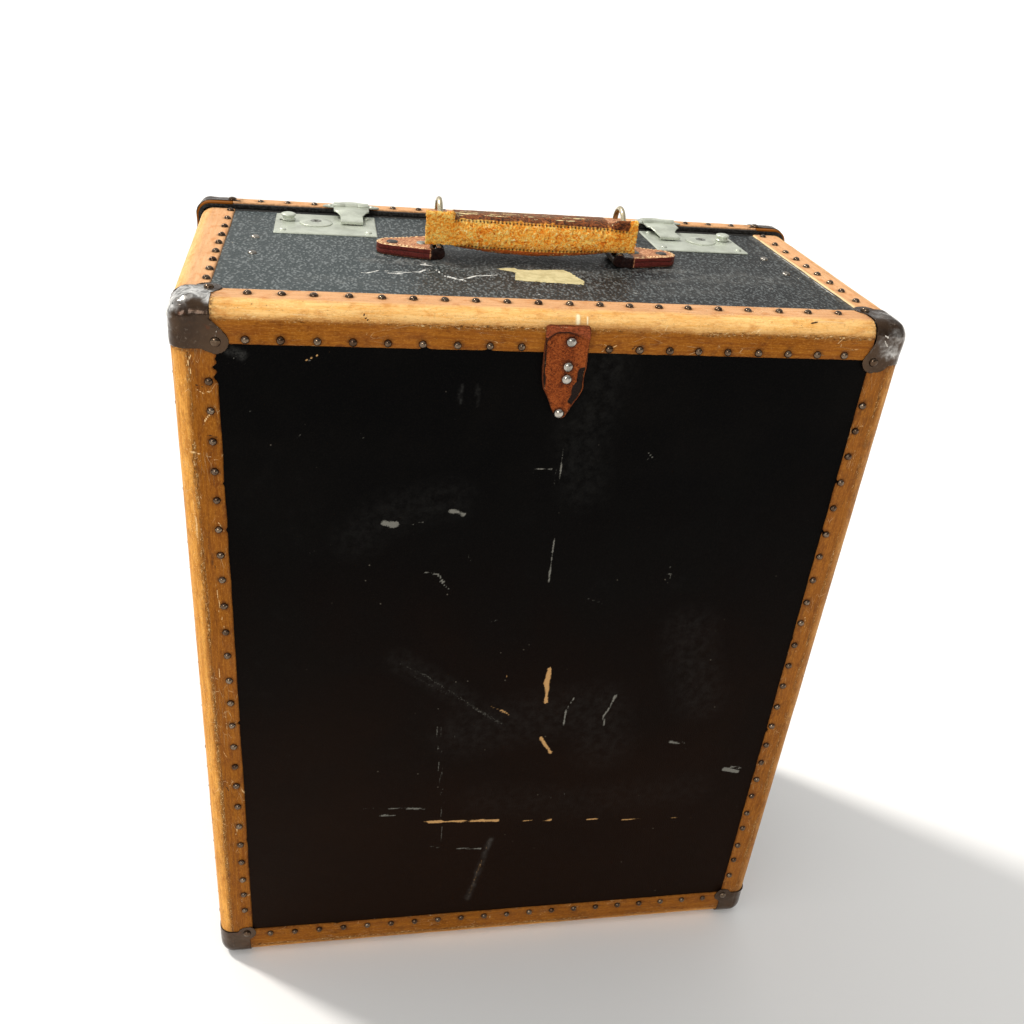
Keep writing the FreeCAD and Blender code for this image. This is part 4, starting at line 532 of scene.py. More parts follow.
def closed_sheet(outer, inner, flip=False):
    """Vertices and faces of the closed body between two grids (nu, nv, 3)."""
    nu, nv = outer.shape[:2]
    n = nu * nv
    verts = np.concatenate([outer.reshape(-1, 3), inner.reshape(-1, 3)])
    faces = [grid_faces(nu, nv, 0, flip), grid_faces(nu, nv, n, not flip)]
    rim = [i * nv for i in range(nu)] + [(nu - 1) * nv + j for j in range(1, nv)] + [i * nv + nv - 1 for i in range(nu - 2, -1, -1)] + [j for j in range(nv - 2, 0, -1)]
    a = np.array(rim)
    b = np.roll(a, -1)
    side = np.stack([a, a + n, b + n, b], 1)
    faces.append(side[:, ::-1] if flip else side)
    return verts, np.concatenate(faces)


def merge(parts):
    """One (verts, faces list) from several."""
    verts, faces, base = [], [], 0
    for v, f in parts:
        v = np.asarray(v, float)
        verts.append(v)
        faces += [[int(i) + base for i in q] for q in f]
        base += len(v)
    return np.concatenate(verts), faces


def basis(normal):
    n = np.asarray(normal, float)
    n = n / np.linalg.norm(n)
    a = np.array([0, 0, 1.0]) if abs(n[2]) < 0.9 else np.array([1.0, 0, 0])
    u = np.cross(a, n)
    u /= np.linalg.norm(u)
    return u, np.cross(n, u), n


def head(at, normal, dia, high, seg=18, flat=0.0, seed=0, rim=0.12):
    """A domed nail or rivet head, slightly uneven, closed below."""
    u, v, n = basis(normal)
    r = np.random.default_rng(seed)
    prof = [(1.0, -0.25 * high), (1.0, rim * high)]
    for t in (0.22, 0.42, 0.60, 0.76, 0.90):
        a = t * math.pi / 2
        prof.append((math.cos(a) ** (1.0 - 0.3 * flat), rim * high + (1 - rim) * high * (math.sin(a) ** (1.0 - 0.45 * flat))))
    prof.append((0.0, high))
    ang = np.linspace(0, 2 * math.pi, seg, endpoint=False)
    tilt = r.normal(0, 0.035, 2)
    squash = 1 + r.normal(0, 0.02)
    out = []
    for rad, z in prof[:-1]:
        x = math.sqrt(squash) * np.cos(ang) * rad * dia / 2
        y = np.sin(ang) * rad * dia / 2 / math.sqrt(squash)
        zz = z + (x * tilt[0] + y * tilt[1]) * (z > 0)
        zz = zz + (0.05 * high * np.sin(ang * 2 + r.uniform(0, 6)) * (1 - rad) if rad < 1 else 0)
        out.append(np.asarray(at) + np.outer(x, u) + np.outer(y, v) + np.outer(zz, n))
    dent = r.uniform(-0.10, 0.02) * high
    out.append((np.asarray(at) + (high + dent) * n)[None])
    verts = np.concatenate(out)
    faces = []
    rings = len(prof) - 1
    for k in range(rings - 1):
        for i in range(seg):
            j = (i + 1) % seg
            faces.append([k * seg + i, k * seg + j, (k + 1) * seg + j, (k + 1) * seg + i])
    top = rings * seg
    for i in range(seg):
        faces.append([(rings - 1) * seg + i, (rings - 1) * seg + (i + 1) % seg, top])
    faces.append(list(range(seg))[::-1])
    return verts, faces


def clean_copy(node, name=None, weld=1e-6):
    """A new mesh object from a CAD node's mesh, welded, at the same place."""
    src = frame["nodes"][node]
    bm = bmesh.new()
    bm.from_mesh(src.data)
    bmesh.ops.remove_doubles(bm, verts=bm.verts, dist=weld)
    bmesh.ops.dissolve_limit(bm, angle_limit=math.radians(1.5), verts=bm.verts, edges=bm.edges)
    me = bpy.data.meshes.new(name or node + "_shown")
    bm.to_mesh(me)
    bm.free()
    ob = bpy.data.objects.new(name or node + "_shown", me)
    scene.collection.objects.link(ob)
    return ob


def body_of(node):
    return frame["nodes"][node]["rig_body"]


def adopt(ob, node, mat):
    ob.data.materials.clear()
    ob.data.materials.append(mat)
    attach(ob, body_of(node))
    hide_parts(node)
    return ob


def refine(node, mat, bevel=0.25, seg=2, wobble=0.0, angle=28.0, subdiv=0):
    """The CAD shape with eased edges, and a touch of hand-made unevenness."""
    ob = clean_copy(node)
    bm = bmesh.new()
    bm.from_mesh(ob.data)
    edges = [e for e in bm.edges if e.is_manifold and e.calc_face_angle(0.0) > math.radians(angle)]
    if edges and bevel > 0:
        bmesh.ops.bevel(bm, geom=edges, offset=bevel * MM, segments=seg, profile=0.6, affect="EDGES", clamp_overlap=True)
    bmesh.ops.triangulate(bm, faces=[f for f in bm.faces if len(f.verts) > 4])
    for _ in range(subdiv):
        bmesh.ops.subdivide_edges(bm, edges=[e for e in bm.edges if e.calc_length() > 2.5 * MM], cuts=1, use_grid_fill=True)
    bm.to_mesh(ob.data)
    bm.free()
    if wobble:
        co = get_co(ob.data)
        d = np.stack([fbm(co / 9 + 5 * k, 3, 0.5, k) for k in (1, 2, 3)], 1)
        set_co(ob.data, co + wobble * d)
    finish_mesh(ob.data, 32)
    return adopt(ob, node, mat)


def get_co(me):
    """Vertex positions in mm."""
    co = np.zeros(len(me.vertices) * 3)
    me.vertices.foreach_get("co", co)
    return co.reshape(-1, 3) / MM


def set_co(me, co):
    me.vertices.foreach_set("co", (co * MM).ravel())
    me.update()


def get_normals(me):
    n = np.zeros(len(me.vertices) * 3)
    me.vertex_normals.foreach_get("vector", n)
    return n.reshape(-1, 3)


def set_masks(me, rgb, key="masks"):
    a = me.attributes.get(key) or me.attributes.new(key, "FLOAT_COLOR", "POINT")
    data = np.ones((len(rgb), 4), np.float32)
    data[:, :3] = np.clip(rgb, 0, 1)
    a.data.foreach_set("color", data.ravel())


def voxel_copy(node, size, name=None, smooth_iters=2, webs=()):
    """The CAD shape as an even dense mesh, for shaping by vertex moves.
    webs: (points, direction, depth) flat plates joined on before remeshing."""
    ob = clean_copy(node, name)
    if webs:
        bm = bmesh.new()
        bm.from_mesh(ob.data)
        for pts, push in webs:
            lo = [bm.verts.new(Vector(p) * MM) for p in pts]
            hi = [bm.verts.new((Vector(p) + Vector(push)) * MM) for p in pts]
            bm.faces.new(lo)
            bm.faces.new(hi[::-1])
            for k in range(len(pts)):
                q = (k + 1) % len(pts)
                bm.faces.new([lo[q], lo[k], hi[k], hi[q]])
        bmesh.ops.recalc_face_normals(bm, faces=bm.faces[:])
        bm.to_mesh(ob.data)
        bm.free()
    mod = ob.modifiers.new("remesh", "REMESH")
    mod.mode = "VOXEL"
    mod.voxel_size = size * MM
    mod.use_smooth_shade = True
    if smooth_iters:
        sm = ob.modifiers.new("smooth", "SMOOTH")
        sm.iterations = smooth_iters
        sm.factor = 0.5
    dg = bpy.context.evaluated_depsgraph_get()
    me = bpy.data.meshes.new_from_object(ob.evaluated_get(dg))
    old = ob.data
    ob.modifiers.clear()
    ob.data = me
    bpy.data.meshes.remove(old)
    return ob


# =============================================================== shared sizes
HW, FY, BT, BL = 229.6, -121.5, 555.4, 1.6
LH, LY, LT = 232.9, 125.5, 558.3
R_BIND, T_BIND = 10.2, 1.2
PANEL_Y, PANEL_TOP, PANEL_LOW = -120.3, 554.2, 2.8

left_z = [508.2, 489.8, 469.9, 449.9, 430.0, 409.1, 390.2, 371.5, 351.0, 329.9, 310.3, 288.9, 269.1, 248.6, 228.7, 209.6, 190.6, 169.6, 149.0, 129.2, 110.1, 90.3, 73.1, 54.9]
right_z = [499.6, 481.4, 462.5, 442.6, 422.5, 401.3, 382.8, 362.5, 343.1, 324.5, 303.9, 284.3, 264.6, 243.7, 223.9, 204.0, 185.2, 166.4, 147.7, 127.8, 110.0, 89.3, 71.4, 51.9]
top_x = [-183.5, -164.0, -143.5, -123.4, -103.4, -83.2, -62.7, -43.5, -24.5, 29.3, 48.4, 67.7, 86.3, 105.3, 125.5, 145.2, 165.0, 183.3]
level_x = [-182.5, -163.4, -145.4, -125.4, -106.5, -88.2, -69.6, -51.2, -32.3, -13.3, 6.0, 24.9, 43.6, 62.4, 81.2, 101.0, 120.7, 141.5, 161.1, 181.8]
level_left_y = [88.5, 64.0, 41.5, 18.5, -1.0, -21.0, -40.0, -59.5, -78.0]
level_right_y = [88.0, 63.0, 42.0, 22.0, 3.5, -15.5, -36.0, -54.5, -76.0]


def even(a, b, n):
    return [a + (b - a) * i / (n - 1) for i in range(n)]


body_nails, lid_nails = [], []
body_nails += [((-204.8, FY, z), (0, -1, 0)) for z in left_z] + [((205.6, FY, z), (0, -1, 0)) for z in right_z]
body_nails += [((x, FY, BT - 21.4), (0, -1, 0)) for x in top_x] + [((x, FY, BL + 23.0), (0, -1, 0)) for x in even(-186, 186, 20)]
body_nails += [((x, FY + 17.5, BT), (0, 0, 1)) for x in level_x]
body_nails += [((-207.6, y, BT), (0, 0, 1)) for y in level_left_y] + [((208.0, y, BT), (0, 0, 1)) for y in level_right_y]
for sx in (-1, 1):
    body_nails += [((sx * float(side_at(FY + 22.0)), FY + 22.0, z), (sx, 0, 0)) for z in even(53, 505, 24)]
    body_nails += [((sx * float(side_at(y)), y, z), (sx, 0, 0)) for y in even(-76, 88, 9) for z in (BL + 21.5, BT - 22.0)]
    body_nails += [((sx * 207.0, y, BL), (0, 0, -1)) for y in even(-76, 88, 9)]
body_nails += [((x, FY + 21.0, BL), (0, 0, -1)) for x in even(-186, 186, 20)]
lid_nails += [((x, LY - 18.5, LT), (0, 0, 1)) for x in even(-187, 187, 20) if abs(abs(x) - 120.5) > 23]
lid_nails += [((x, LY - 18.5, BL), (0, 0, -1)) for x in even(-187, 187, 20) if min(abs(x), abs(abs(x) - 150)) > 25]
lid_nails += [((x, LY, z), (0, 1, 0)) for x in even(-187, 187, 20) for z in (BL + 22, LT - 22)]
for sx in (-1, 1):
    lid_nails += [((sx * LH, LY - 18.5, z), (sx, 0, 0)) for z in even(53, 507, 24)]
    lid_nails += [((sx * (LH - 22), LY, z), (0, 1, 0)) for z in even(53, 507, 24)]

# =============================================================== bindings
def seg_dist(U, W, a, b):
    ax, ay = a
    dx, dy = b[0] - ax, b[1] - ay
    L = dx * dx + dy * dy + 1e-9
    t = np.clip(((U - ax) * dx + (W - ay) * dy) / L, 0, 1)
    return np.hypot(U - ax - t * dx, W - ay - t * dy), t


X, Y, Z = np.eye(3)
AXIS = {"X": X, "Y": Y, "Z": Z}


def strip(node, along, s0, s1, corner, na, nb, wa, wb, faded_and_lit=(0, 0), nails=(), wear=1.0, seed=0, notches=(), step=2.0, R=R_BIND, taper=False, tone=1.0, chips=(0.5, 0.2), mottle=0.0, scars=(), bites=()):
    """Binding strip bent round an edge. corner is a point on the sharp edge,
    na and nb the outward normals of its two faces, wa and wb its widths on
    them. notches: (s_from, s_to, width on face b)."""
    e = AXIS[along]
    na, nb, corner = (np.asarray(v, float) for v in (na, nb, corner))
    s = np.unique(np.concatenate([np.linspace(s0, s1, int((s1 - s0) / step) + 1), np.array([[a - 0.05, a, b, b + 0.05] for a, b, _ in notches]).ravel()]))
    ns = len(s)
    arc = R * math.pi / 2
    da = wa + 0.35 * n1(s, 26, seed) + 0.16 * n1(s, 4, seed + 1)
    db = wb + 0.35 * n1(s, 26, seed + 2) + 0.16 * n1(s, 4, seed + 3)
    r = np.random.default_rng(100 + seed)
    for _ in range(int((s1 - s0) / 75)):
        c, dpt, wd = r.uniform(s0 + 8, s1 - 8), r.uniform(0.5, 1.7), r.uniform(0.7, 2.2)
        bite = dpt * np.exp(-((s - c) / wd) ** 2)
        if r.random() < 0.5:
            da = da - bite
        else:
            db = db - bite
    for at, depth, wide in bites:
        da = da - depth * np.exp(-((s - at) / wide) ** 2) * (1 + 0.14 * n1(s, 2.2, seed + 14))
    for a, b, w in notches:
        inside = (s >= a) & (s <= b)
        db = np.where(inside, w, db)
    # developed coordinate: negative on face a, 0 mid-arc, positive on face b
    edge = np.array([0, 0.25, 0.7, 1.3])
    lo, hi = -(da - R) - arc / 2, (db - R) + arc / 2
    many = 20 if step < 1.6 else 12
    flat_a = np.linspace(0, 1, many)
    bend = np.linspace(-arc / 2, arc / 2, many)
    flat_b = np.linspace(0, 1, many)
    cols = []
    for c in edge:
        cols.append(lo + c)
    for f in flat_a[1:-1]:
        cols.append(lo + 1.3 + (-arc / 2 - 0.6 - lo - 1.3) * f)
    for b in bend:
        cols.append(np.full(ns, b))
    for f in flat_b[1:-1]:
        cols.append(arc / 2 + 0.6 + (hi - 1.3 - arc / 2 - 0.6) * f)
    for c in edge[::-1]:
        cols.append(hi - c)
    d = np.stack(cols, 1)
    nv = d.shape[1]
    S = np.repeat(s[:, None], nv, 1)
    depth = np.minimum(d - lo[:, None], hi[:, None] - d)
    centre = corner - R * na - R * nb
    centre = centre - (centre @ e) * e
    phi = np.clip((d + arc / 2) / R, 0, math.pi / 2)
    nrm = np.cos(phi)[..., None] * na + np.sin(phi)[..., None] * nb
    base = centre + S[..., None] * e + R * nrm
    over_a = np.minimum(d + arc / 2, 0)
    over_b = np.maximum(d - arc / 2, 0)
    base = base + over_a[..., None] * nb - over_b[..., None] * na
    # surface relief
    sd = np.stack([S + 1000 * seed, d, np.full_like(d, seed * 7.0)], -1)
    lift = 0.16 * fbm(sd / np.array([38, 15, 1]), 3, 0.5, seed) + 0.07 * fbm(sd / np.array([7, 3.2, 1]), 3, 0.5, seed + 5)
    crease = np.exp(-((np.abs(d) - (arc / 2 + 0.6)) / 0.55) ** 2)
    lift -= 0.20 * crease * (0.6 + 0.6 * n1(s, 60, seed + 8)[:, None])
    swell = smooth(0, 5, depth)
    lift += 0.22 * (swell - 1) * 0.6
    lift -= np.interp(depth, [0, 0.25, 0.7, 1.3], [T_BIND + 0.02, 0.42, 0.12, 0.0])
    dirt = 0.55 * np.exp(-depth / 1.3)
    nail_hit = np.zeros_like(d)
    for at, n in nails:
        at, n = np.asarray(at), np.asarray(n)
        sa = at @ e
        if not s0 - 3 < sa < s1 + 3:
            continue
        if n @ na > 0.9:
            dn = -arc / 2 - (R - (corner - at) @ nb) if False else -(((corner - at) @ nb) - R) - arc / 2
            if abs((at - corner) @ na) > 5.0 or not 0 < (corner - at) @ nb < wa + 1:
                continue
        elif n @ nb > 0.9:
            dn = (((corner - at) @ na) - R) + arc / 2
            if abs((at - corner) @ nb) > 5.0 or not 0 < (corner - at) @ na < wb + 1:
                continue
        else:
            continue
        rr = np.hypot(S - sa, d - dn)
        hit = np.exp(-(rr / 4.2) ** 2)
        lift -= 0.24 * hit * (0.8 + 0.4 * r.random())
        nail_hit = np.maximum(nail_hit, np.exp(-(np.maximum(rr - 2.4, 0) / 1.5) ** 2))
    dirt = np.maximum(dirt, 0.75 * nail_hit)
    dirt = np.maximum(dirt, 0.30 * crease)
    for at in {"X": (-201.6, 201.6), "Y": (-93.6, 93.5), "Z": (28.4, 527.2)}[along]:
        dirt = np.maximum(dirt, 0.85 * np.exp(-np.abs(S - at) / 1.3) + 0.30 * np.exp(-np.abs(S - at) / 5.0))
    outer = base + lift[..., None] * nrm
    inner = base - (T_BIND - 0.02) * nrm
    soft = 1.2 * n1(s, 30, seed + 20)[:, None] + 0.5 * n1(s, 7, seed + 21)[:, None]
    # the gold band on the bend: wear, with a painted highlight on the rounded edge that faces the light; wear scales it
    bend_wear_and_highlight = wear * (0.30 * smooth(-arc / 2 - 0.6, -arc / 2 + 0.6, d + 0.5 * soft) + 0.70 * smooth(-arc / 2 - 1.0, -arc / 2 + 6.5, d + soft)) * (1 - smooth(arc * 0.10, arc / 2 + 2.5, d + 1.5 * soft))
    bend_wear_and_highlight = bend_wear_and_highlight * (0.86 + 0.3 * fbm(sd / np.array([40, 9, 1]), 3, 0.55, seed + 9))
    along_chip = 0.55 + 0.65 * n1(s, 34, seed + 22)[:, None] + 0.35 * n1(s, 6, seed + 23)[:, None]
    chip = chips[0] * np.exp(-((d + arc / 2 - 0.2 + 0.5 * soft) / 1.5) ** 2) + chips[1] * np.exp(-((d - arc / 2 + soft) / 1.6) ** 2)
    zone = np.stack([np.clip(chip * along_chip * 1.4, 0, 1), np.full_like(d, tone), np.full_like(d, mottle) * smooth(-0.3, 0.5, fbm(sd / np.array([30, 12, 1]), 3, 0.55, seed + 12)), np.ones_like(d)], -1).reshape(-1, 4)
    scar = np.zeros(d.shape + (4,))
    scar[..., 3] = 1
    for kind, pts, width, strength in scars:
        for a, b in zip(pts[:-1], pts[1:]):
            dist, _ = seg_dist(S, d, a, b)
            scar[..., kind] = np.maximum(scar[..., kind], strength * np.clip(1.35 - dist / (width / 2), 0, 1))
    scar = scar.reshape(-1, 4)
    # how pale each face is: part sun-fading, part painted light on the top and sunlit side faces
    fade_and_lit = faded_and_lit[0] + (faded_and_lit[1] - faded_and_lit[0]) * smooth(-arc / 2, arc / 2, d)
    masks = np.stack([bend_wear_and_highlight, dirt, fade_and_lit, np.ones_like(d)], -1).reshape(-1, 4)
    verts, faces = closed_sheet(outer, inner)
    # outward orientation
    a, b, c = verts[faces[len(faces) // 5][0]], verts[faces[len(faces) // 5][1]], verts[faces[len(faces) // 5][2]]
    if np.cross(b - a, c - a) @ nrm.reshape(-1, 3)[faces[len(faces) // 5][0]] < 0:
        faces = faces[:, ::-1]
    if taper:
        verts = tapered(verts)
    attrs = {"masks": np.concatenate([masks, masks]), "zone": np.concatenate([zone, zone]), "scars": np.concatenate([scar, scar]), "sd": np.concatenate([sd.reshape(-1, 3)] * 2)}
    return build(node + "_strip", verts, faces, FIBRE, body_of(node), attrs, 50, (node,))


FLAT = R_BIND - R_BIND * math.pi / 4


def on_a(w):
    """Developed place of a point w mm from the edge on face a."""
    return FLAT - w


front_scars = (
    [(1, [(-117.9, on_a(3.6)), (-116.4, on_a(6.5)), (-114.5, on_a(8.8))], 0.8, 1.0), (0, [(-117.2, on_a(3.8)), (-115.2, on_a(7.2))], 0.8, 0.7),
     (0, [(8.4, on_a(1.2)), (8.2, on_a(5.8))], 3.6, 1.3), (0, [(14.3, on_a(1.8)), (14.1, on_a(6.2))], 1.7, 1.2), (1, [(43.6, on_a(21.5)), (45.0, on_a(19.5))], 0.9, 0.9),
     (0, [(-184, on_a(6)), (-176, on_a(8.2))], 0.9, 0.7), (0, [(-160, on_a(5.6)), (-150, on_a(6.1)), (-146, on_a(7.5))], 0.8, 0.7),
     (0, [(118, on_a(8.4)), (124, on_a(6.0)), (121, on_a(9.2))], 0.8, 0.8), (0, [(160, 2.4), (172, 2.8), (180, 2.2)], 1.4, 0.8),
     (1, [(158, 1.2), (162, 2.0)], 1.4, 0.9), (0, [(186, 3.0), (188, 5.0)], 1.0, 0.8), (1, [(-180, 0.6), (-179, 2.2)], 0.8, 0.7)]
    + [(k % 2, [(29.3 + 2.9 * math.cos(a), on_a(21.4) + 2.9 * math.sin(a)), (29.3 + L * math.cos(a), on_a(21.4) + L * math.sin(a))], 0.5, 0.75)
       for k, (a, L) in enumerate([(0.5, 5.4), (0.8, 4.6), (2.4, 4.4), (2.8, 5.0), (3.5, 5.2), (5.4, 4.4), (5.8, 5.2)])]
)
left_scars = [
    (0, [(463.6, on_a(5.0)), (462.2, on_a(12)), (461.4, on_a(15))], 0.9, 0.8), (0, [(460.4, on_a(18)), (459.0, on_a(29.0))], 0.6, 0.50), (0, [(458.2, on_a(19)), (457.6, on_a(29.0))], 0.6, 0.46), (0, [(468.5, on_a(16)), (467.0, on_a(21))], 0.6, 0.45), (0, [(471.5, on_a(15)), (470.5, on_a(20))], 0.6, 0.4),
    (0, [(483.9, on_a(21.3)), (490.4, on_a(26.2))], 1.3, 0.8), (0, [(480.5, on_a(19.8)), (484, on_a(21.5))], 0.8, 0.6),
    (1, [(473.5, on_a(22)), (473.8, on_a(24))], 0.9, 0.8), (1, [(473.0, on_a(26.0)), (472.6, on_a(28.0))], 0.8, 0.7),
    (1, [(404, on_a(15.5)), (392, on_a(17.5))], 7.0, 0.42), (1, [(390, on_a(19.0)), (384, on_a(18.0))], 5.0, 0.46), (1, [(420, on_a(14.0)), (408, on_a(20))], 6.0, 0.34), (1, [(384, on_a(20.5)), (379, on_a(21.6))], 1.0, 0.55),
    (0, [(363.8, on_a(20.9)), (352, on_a(22.0)), (347, on_a(21.4))], 1.3, 0.58), (0, [(345, on_a(22.5)), (333, on_a(24))], 0.8, 0.5), (0, [(372, on_a(19.5)), (366, on_a(20.4))], 0.9, 0.5),
    (0, [(513, on_a(12)), (520, on_a(10)), (524, on_a(13))], 1.2, 0.8), (1, [(506, on_a(15)), (505, on_a(21))], 0.8, 0.8), (0, [(503, on_a(16)), (501, on_a(21)), (502, on_a(25))], 0.9, 0.7),
    (0, [(415, on_a(24.5)), (408, on_a(27.8))], 0.8, 0.7), (0, [(300, on_a(17)), (292, on_a(17.6))], 1.0, 0.8), (0, [(262, on_a(20)), (245, on_a(21))], 0.7, 0.6),
    (0, [(225, on_a(15)), (218, on_a(19))], 0.8, 0.7), (1, [(190, on_a(16)), (186, on_a(18))], 1.4, 0.8), (0, [(150, on_a(24)), (140, on_a(22))], 0.8, 0.7),
    (0, [(520, 2), (500, 3.5), (480, 2.5)], 0.8, 0.7), (0, [(455, 0.5), (432, 1.8)], 0.8, 0.6), (0, [(430, -4.4), (404, -5.0)], 2.4, 0.44), (0, [(418, -5.6), (398, -5.2)], 1.0, 0.6), (1, [(400, -5.0), (372, -6.5)], 4.0, 0.36), (0, [(446, -6.2), (425, -6.8)], 3.0, 0.36),
]
right_scars = [
    (0, [(470, on_a(20)), (452, on_a(17))], 0.8, 0.5), (1, [(430, on_a(15)), (424, on_a(17))], 1.2, 0.6), (0, [(330, on_a(22)), (320, on_a(19))], 0.8, 0.6),
    (1, [(250, on_a(14)), (244, on_a(16))], 1.4, 0.6), (0, [(200, on_a(16)), (184, on_a(17))], 0.8, 0.5), (0, [(120, on_a(20)), (112, on_a(16))], 0.8, 0.6),
]
# the pair after the widths sets how pale each face is: part sun-fading, part painted light on the top and sunlit sides
strip("front_binding_top", "X", -204.4, 201.4, (0, FY, BT), -Y, Z, 24.6, 26.8, (0.0, 0.9), body_nails, 1.1, 1, step=1.0, tone=0.95, chips=(0.80, 0.12), scars=front_scars)
strip("front_binding_bottom", "X", -202.5, 202.5, (0, FY, BL), -Y, -Z, 28.0, 26.8, (0, 0.2), body_nails, 0.8, 2, tone=0.3, chips=(0.9, 0.3), mottle=0.8)
strip("front_binding_left", "Z", 29.6, 528.9, (-HW, FY, 0), -Y, -X, 29.9, 26.8, (0.0, 0.40), body_nails, 1.05, 3, taper=True, step=1.0, tone=0.10, chips=(1.25, 0.4), scars=left_scars, bites=((516.5, 2.6, 1.6), (510.4, 2.2, 2.2), (521.5, 1.0, 1.2), (441, 0.9, 1.0), (408, 1.1, 1.4)))
strip("front_binding_right", "Z", 29.6, 528.9, (HW, FY, 0), -Y, X, 26.9, 26.8, (0.02, 0.3), body_nails, 0.5, 4, taper=True, step=1.0, tone=0.40, chips=(0.6, 0.5), mottle=0.85, scars=right_scars)
strip("top_binding_left", "Y", -97.0, 93.5, (-HW, 0, BT), Z, -X, 25.1, 26.3, (1, 0.75), body_nails, 0.75, 5, taper=True, step=1.5, tone=0.85, chips=(0.15, 0.3))
strip("top_binding_right", "Y", -97.0, 93.5, (HW, 0, BT), Z, X, 28.1, 26.3, (0.95, 0.4), body_nails, 0.7, 6, taper=True, step=1.5, tone=0.95, chips=(0.2, 0.3), scars=[(0, [(-97, on_a(28.0)), (-60, on_a(27.9)), (-20, on_a(27.9)), (30, on_a(28.0)), (93, on_a(27.9))], 1.5, 1.0)])
strip("bottom_binding_left", "Y", -97.0, 93.5, (-HW, 0, BL), -Z, -X, 27.0, 25.8, (0.2, 0.4), body_nails, 0.9, 7, taper=True, tone=0.4, chips=(0.6, 0.4), mottle=0.6)
strip("bottom_binding_right", "Y", -97.0, 93.5, (HW, 0, BL), -Z, X, 27.0, 25.8, (0.2, 0.3), body_nails, 0.9, 8, taper=True, tone=0.4, chips=(0.6, 0.4), mottle=0.6)
leafs = [(c - 22.3, c + 22.3, LY - 117.8) for c in (-150, 0, 150)]
strip("lid_binding_top", "X", -206.8, 206.8, (0, LY, LT), Y, Z, 27.0, 23.4, (0.2, 1), lid_nails, 0.8, 9, R=13.7, tone=0.9, chips=(0.3, 0.2))
strip("lid_binding_bottom", "X", -206.8, 206.8, (0, LY, BL), Y, -Z, 27.0, 23.4, (0.1, 0.2), lid_nails, 0.9, 10, leafs, tone=0.4, chips=(0.7, 0.3), mottle=0.6)
strip("lid_binding_left", "Z", 27.7, 532.2, (-LH, LY, 0), Y, -X, 27.0, 23.4, (0.1, 0.6), lid_nails, 0.9, 11, tone=0.6, chips=(0.6, 0.4), mottle=0.3)
strip("lid_binding_right", "Z", 27.7, 532.2, (LH, LY, 0), Y, X, 27.0, 23.4, (0.1, 0.3), lid_nails, 0.9, 12, tone=0.5, chips=(0.6, 0.4), mottle=0.5)


def heads(name, node, spots, dia, high, mat, flat=0.3, jitter=0.0, seg=18):
    parts = []
    for k, (at, n) in enumerate(spots):
        r = np.random.default_rng(900 + k)
        u, v, nn = basis(n)
        at = np.asarray(at, float) - 0.22 * nn
        parts.append(head(at, n, dia * (1 + r.normal(0, 0.025)), (high + 0.15) * (1 + r.normal(0, 0.06)), seg, flat, 900 + k))
    v, f = merge(parts)
    return build(name, v, f, mat, body_of(node), None, 60, (node,))


heads("body_nail_heads", "body_binding_nails", body_nails, 4.9, 2.0, NAIL, 0.0)
heads("lid_nail_heads", "lid_binding_nails", lid_nails, 4.6, 1.5, NAIL, 0.0)

# =============================================================== panels
def slab(node, mat, along_u, along_v, normal, plane, u0, u1, v0, v1, thick, round_u=(0, 0), round_v=(0, 0), marks=None, step=2.5, wave=0.18, seed=0, taper=None, rads=(9.0, 9.0)):
    """A wall with gently uneven outer face; round_*: where the edge rounding starts."""
    eu, ev, n = AXIS[along_u], AXIS[along_v], np.asarray(normal, float)
    u = np.linspace(u0, u1, int((u1 - u0) / step) + 2)
    v = np.linspace(v0, v1, int((v1 - v0) / step) + 2)
    U, W = np.meshgrid(u, v, indexing="ij")
    drop = np.zeros_like(U)
    for A, (r0, r1), (q0, q1) in ((U, round_u, (9.0, 9.0)), (W, round_v, rads)):
        for x, q in ((r0 - A if r0 else np.zeros_like(A), q0), (A - r1 if r1 else np.zeros_like(A), q1)):
            x = np.clip(x, 0, 0.955 * q)
            drop += q - np.sqrt(q * q - x * x)
    P = np.stack([U, W, np.full_like(U, seed * 5.0)], -1)
    lift = wave * fbm(P / 90, 3, 0.5, seed) + 0.35 * wave * fbm(P / 14, 3, 0.5, seed + 3)
    lift = np.minimum(lift - 0.5 * wave, 0.12)
    m = np.zeros((len(u), len(v), 3))
    if marks:
        m, dent = marks(U, W)
        lift = lift - dent
    sign = 1.0
    outer = U[..., None] * eu + W[..., None] * ev + (plane + (lift - drop)[..., None] * sign * (n @ (np.abs(n)))) * np.abs(n)
    inner = U[..., None] * eu + W[..., None] * ev + (plane * np.ones_like(U) - thick * (n @ np.abs(n)))[..., None] * np.abs(n)
    verts, faces = closed_sheet(outer, inner)
    a, b, c = verts[faces[0][0]], verts[faces[0][1]], verts[faces[0][2]]
    if np.cross(b - a, c - a) @ n < 0:
        faces = faces[:, ::-1]
    if taper:
        verts = tapered(verts, *taper)
    full = np.ones((len(verts), 4))
    full[:, :3] = np.concatenate([np.clip(m, 0, 1).reshape(-1, 3)] * 2)
    return build(node + "_cloth", verts, faces, mat, body_of(node), {"marks": full}, 40, (node,))


